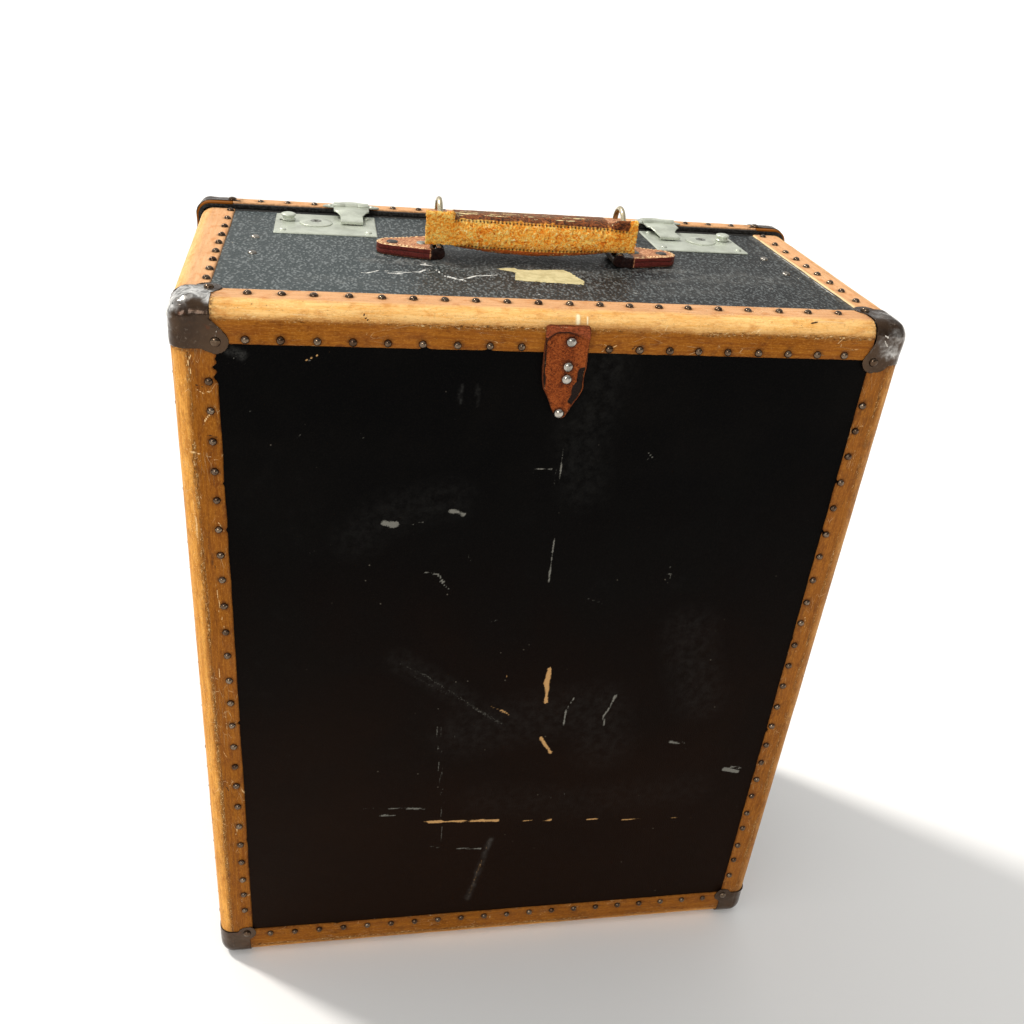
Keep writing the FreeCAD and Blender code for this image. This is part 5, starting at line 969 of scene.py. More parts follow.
def strokes(U, W, items, seed=0):
    """Adds up marks: (kind, points, width, strength). kind 0 scuff, 1 tan, 2 dust."""
    m = np.zeros(U.shape + (3,))
    dent = np.zeros_like(U)
    jit = np.stack([U, W, np.zeros_like(U)], -1)
    wob = fbm(jit / 6.0, 2, 0.5, 41 + seed) * 0.5
    for kind, pts, width, strength in items:
        for a, b in zip(pts[:-1], pts[1:]):
            d, t = seg_dist(U, W, a, b)
            k = strength * np.clip(1.3 - np.maximum(d + wob * min(width, 2.0), 0) / (width / 2), 0, 1)
            m[..., kind] = np.maximum(m[..., kind], k)
            if kind < 2:
                dent = np.maximum(dent, 0.06 * np.clip(k, 0, 1))
    return m, dent


def front_marks(U, W):
    it = [
        (1, [(-66, 139.5), (-30, 137.6), (-6.6, 136.3)], 2.60, 1.00), (1, [(14, 134.1), (21, 133.5)], 1.60, 0.88), (1, [(29, 132.8), (38, 133.2)], 1.60, 0.94),
        (1, [(68, 130.5), (75.5, 131.0)], 1.70, 0.88), (1, [(97, 128), (121, 127)], 1.20, 0.83), (1, [(127, 127.7), (158, 125)], 1.00, 0.66), (1, [(168, 127), (174, 126.6)], 1.60, 0.61),
        (0, [(-92, 299), (-72, 287), (-52, 270.5), (-30, 252), (-12, 238)], 4.4, 0.46), (0, [(-88, 293), (-60, 272), (-25, 247)], 1.8, 0.50), (1, [(-46, 265), (-30, 252.5), (-14, 240)], 1.6, 0.34),
        (1, [(-20.6, 254.7), (-12, 250), (-5.6, 245.2)], 2.20, 0.83),
        (1, [(19.6, 288), (18.6, 280), (19.4, 266), (19.9, 257)], 3.60, 1.00), (1, [(19.0, 284), (18.4, 274)], 5.00, 0.99),
        (1, [(19.5, 222), (24, 214), (28.5, 207)], 4.00, 1.00),
        (0, [(40.7, 260), (36.8, 250), (35.6, 240), (36.5, 230)], 1.49, 1.00), (0, [(73, 262), (70, 250), (66, 241), (68, 232)], 2.07, 0.87),
        (0, [(-61, 246), (-57, 200), (-53, 160), (-50, 110)], 1.15, 0.61), (0, [(-57, 238), (-54, 190), (-50, 150)], 1.03, 0.52), (0, [(-47, 232), (-46, 205)], 1.03, 0.49),
        (0, [(8.3, 469), (9.5, 440), (9.8, 414), (10.0, 386), (10.0, 362)], 1.38, 0.90), (0, [(5.5, 452), (6.5, 430)], 1.03, 0.58),
        (0, [(-17, 452.4), (3, 451.6)], 1.03, 0.80), (0, [(-9, 449), (-2, 444)], 0.92, 0.51),
        (0, [(-103, 412), (-99, 410.9), (-95, 411.5)], 5.75, 1.00), (0, [(-60, 421), (-55.7, 420.3), (-52, 418)], 4.14, 0.90),
        (0, [(-75, 374), (-66, 371.8), (-62, 366)], 1.84, 0.80), (0, [(-64, 366), (-58, 360)], 1.38, 0.72), (0, [(-88, 410), (-78, 413)], 1.15, 0.58),
        (0, [(124, 211), (132, 209)], 2.99, 0.87), (0, [(132, 214), (137, 208)], 1.38, 0.72), (0, [(176, 178), (188, 175)], 4.60, 1.00), (0, [(182, 181), (190, 179)], 2.30, 0.80),
        (2, [(-11, 115), (-18, 80), (-25.5, 45)], 5.00, 0.48), (1, [(-12, 112), (-19, 78), (-25, 48)], 2.20, 0.46), (1, [(-20, 72), (-26, 40)], 4.50, 0.40),
        (0, [(-100, 157), (-84, 156), (-66, 154)], 2.53, 0.80), (0, [(-100, 149.5), (-88, 148.5)], 2.07, 0.72), (0, [(-112, 158), (-104, 158)], 1.38, 0.58), (0, [(-82, 147), (-74, 146.5)], 1.15, 0.55),
        (0, [(-37, 107), (-18, 105)], 2.30, 0.87), (0, [(-60, 112), (-52, 110)], 1.38, 0.58),
        (1, [(-150, 522), (-143, 525.4), (-136.5, 528)], 0.9, 0.84), (0, [(-148.6, 521.6), (-141, 525.0)], 0.7, 0.7),
        (2, [(-58.6, 508), (-59.6, 502), (-57.8, 496)], 1.50, 0.34), (2, [(-49, 508), (-48.5, 502), (-48, 496)], 1.50, 0.24),
        (2, [(120, 320), (128, 290), (141, 253)], 42.50, 0.08), (2, [(30, 520), (20, 470), (25, 440)], 37.50, 0.07), (2, [(-60, 430), (-100, 420), (-120, 400)], 32.50, 0.06),
        (2, [(-40, 230), (0, 240), (60, 250), (70, 210)], 50.00, 0.08), (2, [(-90, 300), (-40, 262)], 20.00, 0.09), (2, [(-20, 160), (60, 150), (150, 160)], 37.50, 0.05),
        (1, [(-12.5, 285), (-11, 278)], 1.60, 0.55), (0, [(64, 466), (70, 459)], 1.03, 0.72), (0, [(66, 459), (69, 466)], 0.92, 0.65), (0, [(58, 452), (63, 455)], 0.92, 0.43),
        (0, [(93, 370), (101, 368)], 1.15, 0.72), (0, [(96, 376), (98, 364)], 1.03, 0.58), (0, [(40, 350), (52, 345)], 1.03, 0.58), (0, [(-30, 330), (-22, 334)], 1.03, 0.58),
        (0, [(-160, 470), (-154, 474)], 1.03, 0.58), (0, [(-120, 478), (-115, 470)], 1.03, 0.58), (0, [(-150, 390), (-132, 398)], 0.92, 0.51), (0, [(-140, 380), (-128, 384)], 0.92, 0.43),
    ]
    it += [(2, [(-192, 527), (-186, 524)], 6, 0.6), (0, [(-190, 522), (-188.6, 521.4)], 1.2, 0.6), (0, [(-183.5, 523), (-182.6, 522.6)], 1.3, 0.6), (0, [(-194, 519.6), (-193, 519)], 1.2, 0.5), (0, [(-191, 526.5), (-188, 524)], 2.4, 0.5), (0, [(-185.5, 519.5), (-184.6, 519)], 1.6, 0.8), (0, [(-184, 527), (-180, 526)], 1.4, 0.45)]
    r = np.random.default_rng(5)
    for _ in range(70):
        x, z = r.uniform(-192, 194), r.uniform(40, 520)
        a, L = r.uniform(0, math.pi), r.uniform(0.5, 5.5)
        it.append((0, [(x, z), (x + L * math.cos(a), z + L * math.sin(a))], r.uniform(0.6, 1.3), r.uniform(0.25, 0.62)))
    for _ in range(16):
        x, z = r.uniform(-60, 150), r.uniform(150, 420)
        a, L = r.uniform(0.9, 2.2), r.uniform(6, 22)
        it.append((0, [(x, z), (x + L * math.cos(a), z + L * math.sin(a))], r.uniform(0.5, 0.9), r.uniform(0.22, 0.42)))
    return strokes(U, W, it)


def top_marks(U, W):
    it = [
        (0, [(-124, -48.5), (-114, -51.5), (-105, -43.7), (-92.6, -46.4), (-80, -44.6), (-71, -32.2), (-64.3, -51.2), (-55.6, -58.6), (-44.7, -48.6), (-30, -44.4)], 2.18, 0.93),
        (0, [(-100, -49), (-92, -50)], 2.99, 0.90), (0, [(-74.5, -24), (-73.5, -34), (-72.5, -44)], 2.53, 1.00), (0, [(-77, -27), (-71, -29)], 3.45, 1.00), (0, [(-62, -52), (-52, -60)], 2.76, 1.00),
        (0, [(-172, -30), (-160, -22)], 1.38, 0.52), (0, [(-165, -33), (-158, -30)], 1.15, 0.45),
        (2, [(-112, -22), (-84, -24), (-58, -24)], 12.00, 0.85), (2, [(50, -24), (84, -22), (112, -18)], 10.00, 0.60), (2, [(-50, -30), (0, -26), (46, -30)], 26.00, 0.45),
        (2, [(120, -40), (170, -30)], 22.00, 0.42), (2, [(-150, -66), (-90, -74)], 20.00, 0.25), (2, [(60, -70), (120, -60)], 24.00, 0.30), (0, [(56, -72), (62, -72)], 2.76, 0.75), (0, [(66, -78), (72, -76)], 1.61, 0.60),
        (0, [(158, -50), (160, -52)], 1.84, 1.00), (2, [(-204, -90), (-204, 90)], 5.00, 0.30), (2, [(200, -90), (200, 90)], 7.00, 0.60), (0, [(199, -84), (200, -40), (200, 10), (199.5, 60)], 1.15, 0.75),
        (2, [(-200, -93), (200, -93)], 5.00, 0.35),
    ]
    # pale dust gathered round the handle's feet and under it
    it += [(2, [(-108, -3), (-100, -15), (-86, -19.5), (-70, -19.5), (-62, -17)], 4.5, 1.0), (0, [(-107, -6), (-98, -15.5), (-84, -18.6), (-66, -18.4)], 0.9, 0.62),
           (2, [(106, -4), (98, -14), (84, -18.5), (64, -18)], 5.0, 1.0), (0, [(105, -6), (97, -14.5), (82, -17.8)], 0.8, 0.5), (0, [(100, -26), (106, -27)], 2.2, 0.6),
           (0, [(-35, -45), (-33, -50), (-30, -52)], 1.4, 0.7), (0, [(30, -62), (33, -63)], 1.2, 0.8), (0, [(20, -66), (22, -67)], 1.0, 0.7), (2, [(70, -50), (150, -20)], 14, 0.5), (2, [(-40, -12), (40, -14)], 16, 0.35)]
    # worn rim of a plain oval stamp
    t = np.linspace(0, 2 * math.pi, 26)
    oval = [(3.0 + 21.0 * math.cos(a), -87.2 + 6.0 * math.sin(a)) for a in t]
    it += [(0, [oval[i], oval[i + 1]], 1.0, 0.62 + 0.25 * math.sin(i * 1.7)) for i in range(25)]
    r = np.random.default_rng(8)
    for _ in range(60):
        x, y = r.uniform(-198, 196), r.uniform(-90, 88)
        a, L = r.uniform(0, math.pi), r.uniform(0.4, 3.5)
        it.append((0, [(x, y), (x + L * math.cos(a), y + L * math.sin(a))], r.uniform(0.7, 1.3), r.uniform(0.25, 0.6)))
    it = [(k, p, w * 0.72 if k == 0 else w, s * (1.0 if k == 0 else 0.85)) for k, p, w, s in it]
    return strokes(U, W, it, 3)


slab("front_panel", CLOTH_FRONT, "X", "Z", -Y, PANEL_Y, -226.2, 226.2, 5.0, 552.0, 5.0, (-219.4, 219.4), (11.8, 545.2), front_marks, 1.5, 0.3, 1, (208.5, 219.4))
slab("left_panel", CLOTH_SIDE, "Y", "Z", -X, -228.4, -115.3, 93.4, 7.9, 549.1, 9.0, (0, 0), (11.8, 545.2), None, 3.0, 0.3, 3, (219.4, 228.0))
slab("right_panel", CLOTH_SIDE, "Y", "Z", X, 228.4, -115.3, 93.4, 7.9, 549.1, 9.0, (0, 0), (11.8, 545.2), None, 3.0, 0.3, 4, (219.4, 228.0))
slab("bottom_panel", CLOTH_SIDE, "X", "Y", -Z, PANEL_LOW, -226.2, 226.2, -115.2, 96.2, 5.0, (-219.4, 219.4), (-111.3, 0), None, 3.0, 0.0, 5, (208.5, 219.4))
slab("lid_panel", CLOTH_SIDE, "X", "Z", Y, 124.3, -229.4, 229.4, 5.0, 555.0, 6.0, (-222.7, 222.7), (11.8, 544.6), None, 3.0, 0.35, 6, None, (9.0, 12.5))


def top_panel():
    """The top wall keeps its openings for the lock cases."""
    xs = np.unique(np.round(np.concatenate([np.arange(-226.2, 226.3, 1.5), [-172.9, -107.8, 107.8, 172.9, 226.2]]), 3))
    ys = np.unique(np.round(np.concatenate([np.arange(-115.2, 93.4, 1.5), [45.3, 83.7, 93.4]]), 3))
    U, W = np.meshgrid(xs, ys, indexing="ij")
    drop = np.zeros_like(U)
    for x in (-219.4 - U, U - 219.4, -111.3 - W):
        x = np.clip(x, 0, 8.6)
        drop += 9.0 - np.sqrt(81.0 - x * x)
    P = np.stack([U, W, np.full_like(U, 9.0)], -1)
    m, dent = top_marks(U, W)
    lift = 0.25 * fbm(P / 80, 3, 0.5, 2) + 0.08 * fbm(P / 14, 3, 0.5, 4) - 0.16 - dent
    lift = np.minimum(lift, 0.1)
    lift = np.where(np.maximum(np.abs(np.abs(U) - 139) - 38, np.abs(W - 61) - 29) < 0, -0.02, lift)
    outer = np.stack([U, W, PANEL_TOP + lift - drop], -1).reshape(-1, 3)
    inner = np.stack([U, W, np.full_like(U, PANEL_TOP - 5.0)], -1).reshape(-1, 3)
    nu, nv = U.shape
    faces, n = [], nu * nv
    hole = lambda x, y: 107.8 < abs(x) < 172.9 and 45.3 < y < 83.7
    solid = np.zeros((nu - 1, nv - 1), bool)
    for i in range(nu - 1):
        for j in range(nv - 1):
            solid[i, j] = not hole((xs[i] + xs[i + 1]) / 2, (ys[j] + ys[j + 1]) / 2)
    idx = lambda i, j: i * nv + j
    for i in range(nu - 1):
        for j in range(nv - 1):
            if not solid[i, j]:
                continue
            a, b, c, d = idx(i, j), idx(i + 1, j), idx(i + 1, j + 1), idx(i, j + 1)
            faces.append([a, b, c, d])
            faces.append([a + n, d + n, c + n, b + n])
            if j == 0 or not solid[i, j - 1]:
                faces.append([a, a + n, b + n, b])
            if j == nv - 2 or not solid[i, j + 1]:
                faces.append([d, c, c + n, d + n])
            if i == 0 or not solid[i - 1, j]:
                faces.append([a, d, d + n, a + n])
            if i == nu - 2 or not solid[i + 1, j]:
                faces.append([b, b + n, c + n, c])
    used = np.unique(np.array(faces).ravel())
    remap = np.full(2 * n, -1)
    remap[used] = np.arange(len(used))
    verts = tapered(np.concatenate([outer, inner])[used])
    full = np.ones((2 * n, 4))
    full[:, :3] = np.concatenate([np.clip(m, 0, 1).reshape(-1, 3)] * 2)
    build("top_panel_cloth", verts, remap[np.array(faces)], CLOTH_TOP, "body", {"marks": full[used]}, 40, ("top_panel",))


top_panel()
for node in ("body_neck", "lid_frame"):
    refine(node, CLOTH_SIDE, 0.35, 2)

# =============================================================== corner caps
def caps(node, seed, dent_at=(), bare_and_lit_at=(), nick_at=(), corner=(), grime_at=(), webs=()):
    ob = voxel_copy(node, 0.65, node + "_pressed", 3, webs)
    me = ob.data
    co, n = get_co(me), get_normals(me)
    warp = np.stack([fbm(co / 13 + 31 * k, 2, 0.5, seed + k) for k in (1, 2, 3)], 1)
    warp -= (warp * n).sum(1)[:, None] * n
    lift = 0.30 * fbm(co / 11, 3, 0.5, seed + 7) + 0.10 * fbm(co / 3.5, 2, 0.5, seed + 8) - 0.15
    rumple = np.zeros(len(co))
    # bright patches on the caps: partly wear to bright metal, partly a painted highlight on cap tops that face the
    # light
    for at, rad, amount in bare_and_lit_at:
        rumple = np.maximum(rumple, amount * np.exp(-(np.linalg.norm(co - np.array(at), axis=1) / (1.2 * rad)) ** 2))
    lift += 0.75 * rumple * fbm(co / np.array([7.0, 9.0, 7.0]), 2, 0.45, seed + 17) - 0.1 * rumple
    for at, rad, depth in dent_at:
        lift -= depth * np.exp(-(np.linalg.norm(co - np.array(at), axis=1) / rad) ** 2)
    move = np.zeros_like(co)
    for at, rad, depth in corner:
        # the outermost point of the cap is rounded off
        at = np.array(at, float)
        to = np.array([0, 0, 290.0]) - at
        to /= np.linalg.norm(to)
        move += (depth * np.exp(-(np.linalg.norm(co - at, axis=1) / rad) ** 2))[:, None] * to
    set_co(me, co + 0.9 * warp + lift[:, None] * n + move)
    wob = fbm(co / 6, 3, 0.55, seed + 15)
    m = np.zeros((len(co), 3))
    m[:, 0] = 0.05 + 0.20 * fbm(co / 9, 3, 0.5, seed + 16)
    # the same patches in the colour mask: wear and painted highlight
    for at, rad, amount in bare_and_lit_at:
        d = np.linalg.norm(co - np.array(at), axis=1) / rad
        m[:, 0] = np.maximum(m[:, 0], amount * np.clip(1.5 - d + 0.55 * wob, 0, 1))
    for at, rad, amount in grime_at:
        d = np.linalg.norm(co - np.array(at), axis=1) / rad
        m[:, 1] = np.maximum(m[:, 1], amount * np.clip(1.4 - d + 0.6 * wob, 0, 1))
        m[:, 0] *= 1 - 0.8 * amount * np.clip(1.4 - d + 0.6 * wob, 0, 1)
    for a, b, width, amount in nick_at:
        a, b = np.array(a, float), np.array(b, float)
        k = np.clip(((co - a) @ (b - a)) / ((b - a) @ (b - a)), 0, 1)
        d = np.linalg.norm(co - a - k[:, None] * (b - a), axis=1)
        m[:, 2] = np.maximum(m[:, 2], amount * np.clip(1.3 - d / (width / 2), 0, 1))
    set_masks(me, m)
    finish_mesh(me, None)
    return adopt(ob, node, CAP)


# the bright patches on the cap tops are wear and painted highlight
caps("body_corner_caps", 3,
     dent_at=(((-212, -112, 557), 6, 1.1), ((-219, -101, 556), 5, 1.0), ((-205, -103, 556), 5, 0.6), ((-223, -121, 545), 6, 1.0), ((-213, -122, 537), 6, 0.8), ((221, -118, 545), 8, 0.9), ((213, -104, 557), 6, 0.6)),
     bare_and_lit_at=(((-214, -106, 556), 13, 1.0), ((-203, -112, 554), 7, 0.8), ((-224, -112, 550), 9, 0.9), ((-226, -118, 538), 5, 0.45), ((214, -104, 556), 10, 0.42), ((220, -112, 552), 9, 0.36), ((-204, -122, 527), 4, 0.25), ((213, -122, 543), 12, 0.46), ((221, -118, 534), 7, 0.40)),
     grime_at=(((-212, -121, 546), 9, 0.55), ((-214, -113, 557), 3.0, 0.5), ((-224, -122, 531), 5, 0.6), ((206, -121, 548), 7, 0.4), ((222, -100, 555), 8, 0.4)),
     nick_at=(((206, -122, 549), (214, -122, 545), 1.2, 0.9), ((208, -122, 545), (211, -122, 541), 1.0, 0.9), ((218, -122, 541), (222, -121, 537), 1.4, 0.9), ((216, -122, 536), (219, -122, 533), 1.2, 0.8),
              ((223, -108, 553), (225, -104, 550), 1.4, 0.7), ((-221, -121.8, 540), (-217, -122, 537), 1.0, 0.7), ((-198, -122, 541), (-200, -122, 533), 0.9, 0.6), ((-226, -120, 528), (-218, -122, 527.5), 0.9, 0.8), ((-211, -122, 533), (-208, -122, 530), 0.8, 0.6)),
     corner=(((-226, -122, 556), 9, 1.3), ((226, -122, 556), 9, 1.1)),
     webs=[([(x, FY - 0.72, z) for x, z in pts], (0, 0.64, 0)) for pts in (
         [(-203.5, 546.0), (-201.3, 545.2), (-199.4, 543.6), (-196.8, 541.2), (-194.6, 538.0), (-193.4, 533.5), (-203.5, 533.5)],
         [(203.5, 544.8), (201.4, 542.6), (199.2, 537.4), (197.1, 532.6), (197.3, 527.4), (203.5, 527.4)],
         [(203.5, 528.8), (203.8, 522.7), (208.5, 522.9), (212.4, 524.2), (215.5, 527.0), (215.5, 528.8)],
         [(-208.5, 527.9), (-203.5, 525.6), (-199.0, 525.2), (-199.0, 528.9), (-208.5, 528.9)],
         [(-202.5, 36.0), (-200.8, 34.6), (-197.5, 31.0), (-202.5, 27.0)], [(202.5, 36.0), (202.5, 27.0), (197.5, 31.0), (200.8, 34.6)])]
     + [([(x, y, BT + 0.08) for x, y in pts], (0, 0, 0.64)) for pts in (
         [(-203.5, -101.0), (-203.5, -92.6), (-199.0, -92.8), (-198.0, -99.0), (-200.6, -104.5), (-203.5, -107.5)],
         [(203.5, -101.0), (203.5, -107.5), (200.6, -104.5), (198.0, -99.0), (199.0, -92.8), (203.5, -92.6)])])
caps("lid_corner_caps", 23, (((-226, 115, 557), 6, 0.8), ((222, 118, 552), 6, 0.6)), bare_and_lit_at=(((-228, 118, 555), 7, 0.5), ((228, 118, 555), 7, 0.5)), grime_at=(((-222, 110, 558), 6, 0.4),))
refine("lid_corner_binding", FIBRE, 0.2, 2)

lobe = 25.3
spots = []
for sx in (-1, 1):
    for cz, sz in ((BT, 1), (BL, -1)):
        near = sx < 0 and sz > 0
        spots.append(((sx * (HW - lobe) + 4.6 * near, FY - 0.7, cz - sz * lobe + 2.4 * near), (0, -1, 0)))
        spots.append(((sx * (float(side_at(FY + lobe)) + 0.7), FY + lobe, cz - sz * lobe), (sx, 0, 0)))
    spots.append(((sx * (HW - lobe), FY + lobe, BT + 0.7), (0, 0, 1)))
heads("body_cap_rivet_heads", "body_cap_rivets", spots, 6.0, 1.8, NAIL, 0.4)
spots = []
for sx in (-1, 1):
    for cz, sz in ((LT, 1), (BL, -1)):
        spots.append(((sx * (LH - lobe), LY + 0.7, cz - sz * lobe), (0, 1, 0)))
    spots.append(((sx * (LH - lobe), LY - 18.5, LT + 0.7), (0, 0, 1)))
    for z in (LT - lobe, BL + lobe):
        spots.append(((sx * (LH + 0.7), LY - 18.5, z), (sx, 0, 0)))
heads("lid_cap_rivet_heads", "lid_cap_rivets", spots, 6.0, 1.8, NAIL, 0.4)
heads("rail_rivet_heads", "rail_bracket_rivets", [((-186.0, 22.0, PANEL_TOP), (0, 0, 1)), ((-185.4, -17.2, PANEL_TOP), (0, 0, 1)), ((183.0, 23.6, PANEL_TOP), (0, 0, 1)), ((184.6, -14.2, PANEL_TOP), (0, 0, 1))], 6.0, 1.8, RIVET, 0.2)

# =============================================================== metal fittings
for side in ("left", "right"):
    refine("lock_plate_" + side, NICKEL, 0.22, 2)
    refine("key_boss_" + side, NICKEL, 0.15, 2)
    refine("key_plug_" + side, NICKEL_DARK, 0.15, 2)
    refine("lock_button_" + side, NICKEL, 0.2, 2)
    refine("hasp_" + side, NICKEL, 0.18, 1)
    refine("hasp_plate_" + side, NICKEL, 0.22, 2)
    refine("lock_case_" + side, BROWNED, 0.3, 2)
    refine("rail_bracket_" + side, BROWNED, 0.35, 2)
    refine("handle_ring_" + side, BRASS, 0.0, 1)
refine("hinge_leaves_body", BROWNED, 0.15, 2)
refine("hinge_leaves_lid", BROWNED, 0.15, 2)
refine("hinge_pins", BROWNED, 0.1, 2)
refine("garment_rail", RAIL, 0.3, 2)
refine("body_lining", LINING, 0.1, 1)
refine("lid_lining", LINING, 0.1, 1)
spots = []
for sx in (-1, 1):
    for dx in (-29.5, 29.5):
        for dy in (-20.5, 20.5):
            spots.append(((sx * 139.0 + dx, 61.0 + dy, 555.4), (0, 0, 1)))
heads("lock_rivet_heads", "lock_plate_rivets", spots, 5.0, 1.4, NICKEL, 0.2)

# =============================================================== handle
def outline_dist(co, cx, cy):
    """How far a point of a chape is inside its outline, by ray casting on the
    mesh's own widest points."""
    ang = np.arctan2(co[:, 1] - cy, co[:, 0] - cx)
    rad = np.hypot(co[:, 0] - cx, co[:, 1] - cy)
    bins = 180
    k = ((ang + math.pi) / (2 * math.pi) * bins).astype(int) % bins
    far = np.zeros(bins)
    np.maximum.at(far, k, rad)
    far = (far + np.roll(far, 1) + np.roll(far, -1)) / 3
    return far[k] - rad


for side, sx, x0 in (("left", -1, -104.7), ("right", 1, 103.7)):
    ob = voxel_copy("handle_chape_" + side, 0.5, "chape_%s_hide" % side, 2)
    me = ob.data
    co, n = get_co(me), get_normals(me)
    cx, cy = -84.0 if sx < 0 else 83.0, 0.8
    ins = outline_dist(co, cx, cy)
    top = (n[:, 2] > 0.6) & (co[:, 2] > 557)
    lift = 0.22 * fbm(co / 5, 3, 0.5, 5) + 0.12 * fbm(co / 1.6, 3, 0.6, 6)
    pad = (co[:, 0] * sx) > 71.0
    # the stitch line round the edge, its furrow, and each stitch
    ang = np.arctan2(co[:, 1] - cy, (co[:, 0] - cx) * 0.8)
    along = ang * 17.0
    row = np.exp(-((ins - 2.1) / 0.85) ** 2) * top * pad
    stitch = row * smooth(-0.25, 0.25, np.sin(along * 2 * math.pi / 3.3))
    lift += -0.40 * row + 0.75 * stitch
    # two leather layers show on the edge
    wall = (np.abs(n[:, 2]) < 0.6) & pad
    seam = np.exp(-((co[:, 2] - 558.0 - 0.3 * np.sin(along / 6)) / 0.35) ** 2) * wall
    lift -= 0.55 * seam
    lift -= 0.35 * np.exp(-(ins / 0.8) ** 2) * top
    set_co(me, co + lift[:, None] * n)
    wob = fbm(co / 4, 3, 0.6, 9)
    m = np.zeros((len(co), 3))
    m[:, 2] = np.maximum(1.6 * stitch, 0.85 * np.exp(-(np.maximum(ins - 0.5, 0) / 1.0) ** 2) * (n[:, 2] > 0.30) * pad * (0.75 + 0.9 * wob))
    m[:, 1] = np.maximum(0.55 * row * (stitch < 0.3), 0.75 * seam)
    m[:, 0] = 0.95 * smooth(72.5, 68.5, co[:, 0] * sx + 1.2 * wob) * (co[:, 2] < 562.5)
    m[:, 1] = np.maximum(m[:, 1], 0.6 * (wall & (co[:, 2] < 555.6)))
    for px in (-95.0 if sx < 0 else 94.0,):
        m[:, 1] = np.maximum(m[:, 1], 0.55 * np.clip(1.25 - np.hypot(co[:, 0] - px, (co[:, 1] + 0.5)) / 5.4 + 0.3 * wob, 0, 1) * top)
    set_masks(me, m)
    z = np.zeros((len(co), 3))
    z[:, 0] = np.where(wall, 1.0, 0.0)
    set_masks(me, z, "zone")
    finish_mesh(me, None)
    adopt(ob, "handle_chape_" + side, CHAPE)

ob = voxel_copy("handle_grip", 0.5, "grip_hide", 2)
me = ob.data
co, n = get_co(me), get_normals(me)
x, y, z = co.T
# the sleeves slope down into the rounded grip instead of ending square
press = np.maximum(smooth(-57.0, -50.5, x) * (x < 0), smooth(56.0, 49.5, x) * (x > 0))
side = np.clip(np.abs(y) - 3.0, 0, None)
rad = np.hypot(side, z - 570.4)
over = np.where(z > 570.4, np.clip(rad - 13.0, 0, None), 0.0) * press
y = y - np.sign(y) * over * side / np.maximum(rad, 1e-6)
z = z - over * (z - 570.4) / np.maximum(rad, 1e-6)
# the far wall of the left sleeve is a little shorter than the near one
x = x + 4.2 * smooth(2.0, 9.0, y) * smooth(-60.0, -72.0, x)
co = np.stack([x, y, z], 1)
front, back = y < -1.0, y > 1.0
edgy = fbm(co / 3.0, 2, 0.5, 77)
sleeve_l, sleeve_r = smooth(-53.0, -57.5, x + 2.5 * edgy), smooth(44.0, 56.0, x)
sleeve = np.maximum(sleeve_l, sleeve_r)
pad = 1 - np.maximum(sleeve_l, smooth(61.5, 66.0, x + 1.5 * edgy))
up_row, low_row = 580.3 - 0.012 * (x + 50), 563.4 + 1.6 * (np.abs(x + 2.3) / 60) ** 2
tw = 1.6 * np.stack([fbm(co / 3.2, 2, 0.5, 41), fbm(co / 3.2, 2, 0.5, 42), fbm(co / 3.2, 2, 0.5, 43)], 1)
curl = 1 - 2.4 * np.abs(fbm((co + tw) / 2.3, 2, 0.5, 44))
shag = 0.72 * curl + 0.30 * fbm(co / 1.3, 2, 0.6, 12) + 0.30 * fbm(co / 9, 2, 0.5, 13)
band = smooth(-0.3, 0.5, z - up_row - 0.6) * pad
foot = smooth(-0.3, 0.6, low_row - 0.6 - z) * pad
calm = np.clip(band + 0.45 * foot + 0.25 * sleeve, 0, 1)
lift = shag * (1 - 0.85 * calm) + 0.10 * fbm(co / 6, 3, 0.5, 14)
walls = np.abs(n[:, 1]) > 0.35
dash = smooth(-0.35, 0.35, np.sin((x + 46.0) * 2 * math.pi / 2.5))
rows = np.zeros(len(co))
for level in (up_row, low_row):
    rows = np.maximum(rows, np.exp(-((z - level) / 0.80) ** 2) * pad * walls)
lift -= 0.30 * rows + 0.55 * rows * dash
ends = 0.5 * np.exp(-((x - 66.5) / 0.5) ** 2) * (np.abs(y) > 13)
lift -= 0.35 * ends
set_co(me, co + lift[:, None] * n)
wob = fbm(co / 5, 3, 0.6, 9)
scr = fbm(np.stack([x / 26, y / 1.3, z / 1.3], 1), 4, 0.6, 21)
m = np.zeros((len(co), 3))
m[:, 0] = np.clip(band * (0.75 + 0.7 * wob + 0.5 * smooth(580.8, 583, z)), 0, 1)
m[:, 0] = np.maximum(m[:, 0], 0.16 * sleeve_r * smooth(60, 70, x + 2.5 * wob) * smooth(560, 572, z))
m[:, 0] = np.maximum(m[:, 0], 0.40 * sleeve_l * smooth(0.75, 0.95, n[:, 2]) * (0.6 + 1.0 * wob))
m[:, 1] = np.clip(np.maximum(1.1 * rows * dash, 0.22 * rows), 0, 1)
m[:, 1] = np.maximum(m[:, 1], 0.35 * ends * sleeve_r * (np.sin(z * 2 * math.pi / 2.4) > 0))
m[:, 2] = np.clip(smooth(0.18, 0.42, scr) * smooth(581.0, 583.2, z) * pad * 0.9, 0, 1)
m[:, 2] = np.maximum(m[:, 2], 0.75 * np.exp(-((z - (low_row - 2.6)) / 0.7) ** 2) * pad * walls * (0.5 + 0.9 * wob))
m[:, 2] = np.maximum(m[:, 2], 0.35 * np.exp(-((z - 583.2) / 0.5) ** 2) * pad * front)
# curl tips painted pale: painted highlight on the fibre relief
m[:, 2] = np.maximum(m[:, 2], 0.50 * smooth(0.40, 0.95, curl) * (1 - calm))
set_masks(me, m)
zn = np.zeros((len(co), 3))
zn[:, 0] = np.clip(foot + 0.45 * np.exp(-((z - up_row - 1.6) / 1.3) ** 2) * pad * walls + 0.35 * sleeve_r * smooth(0.0, 0.6, wob), 0, 1)
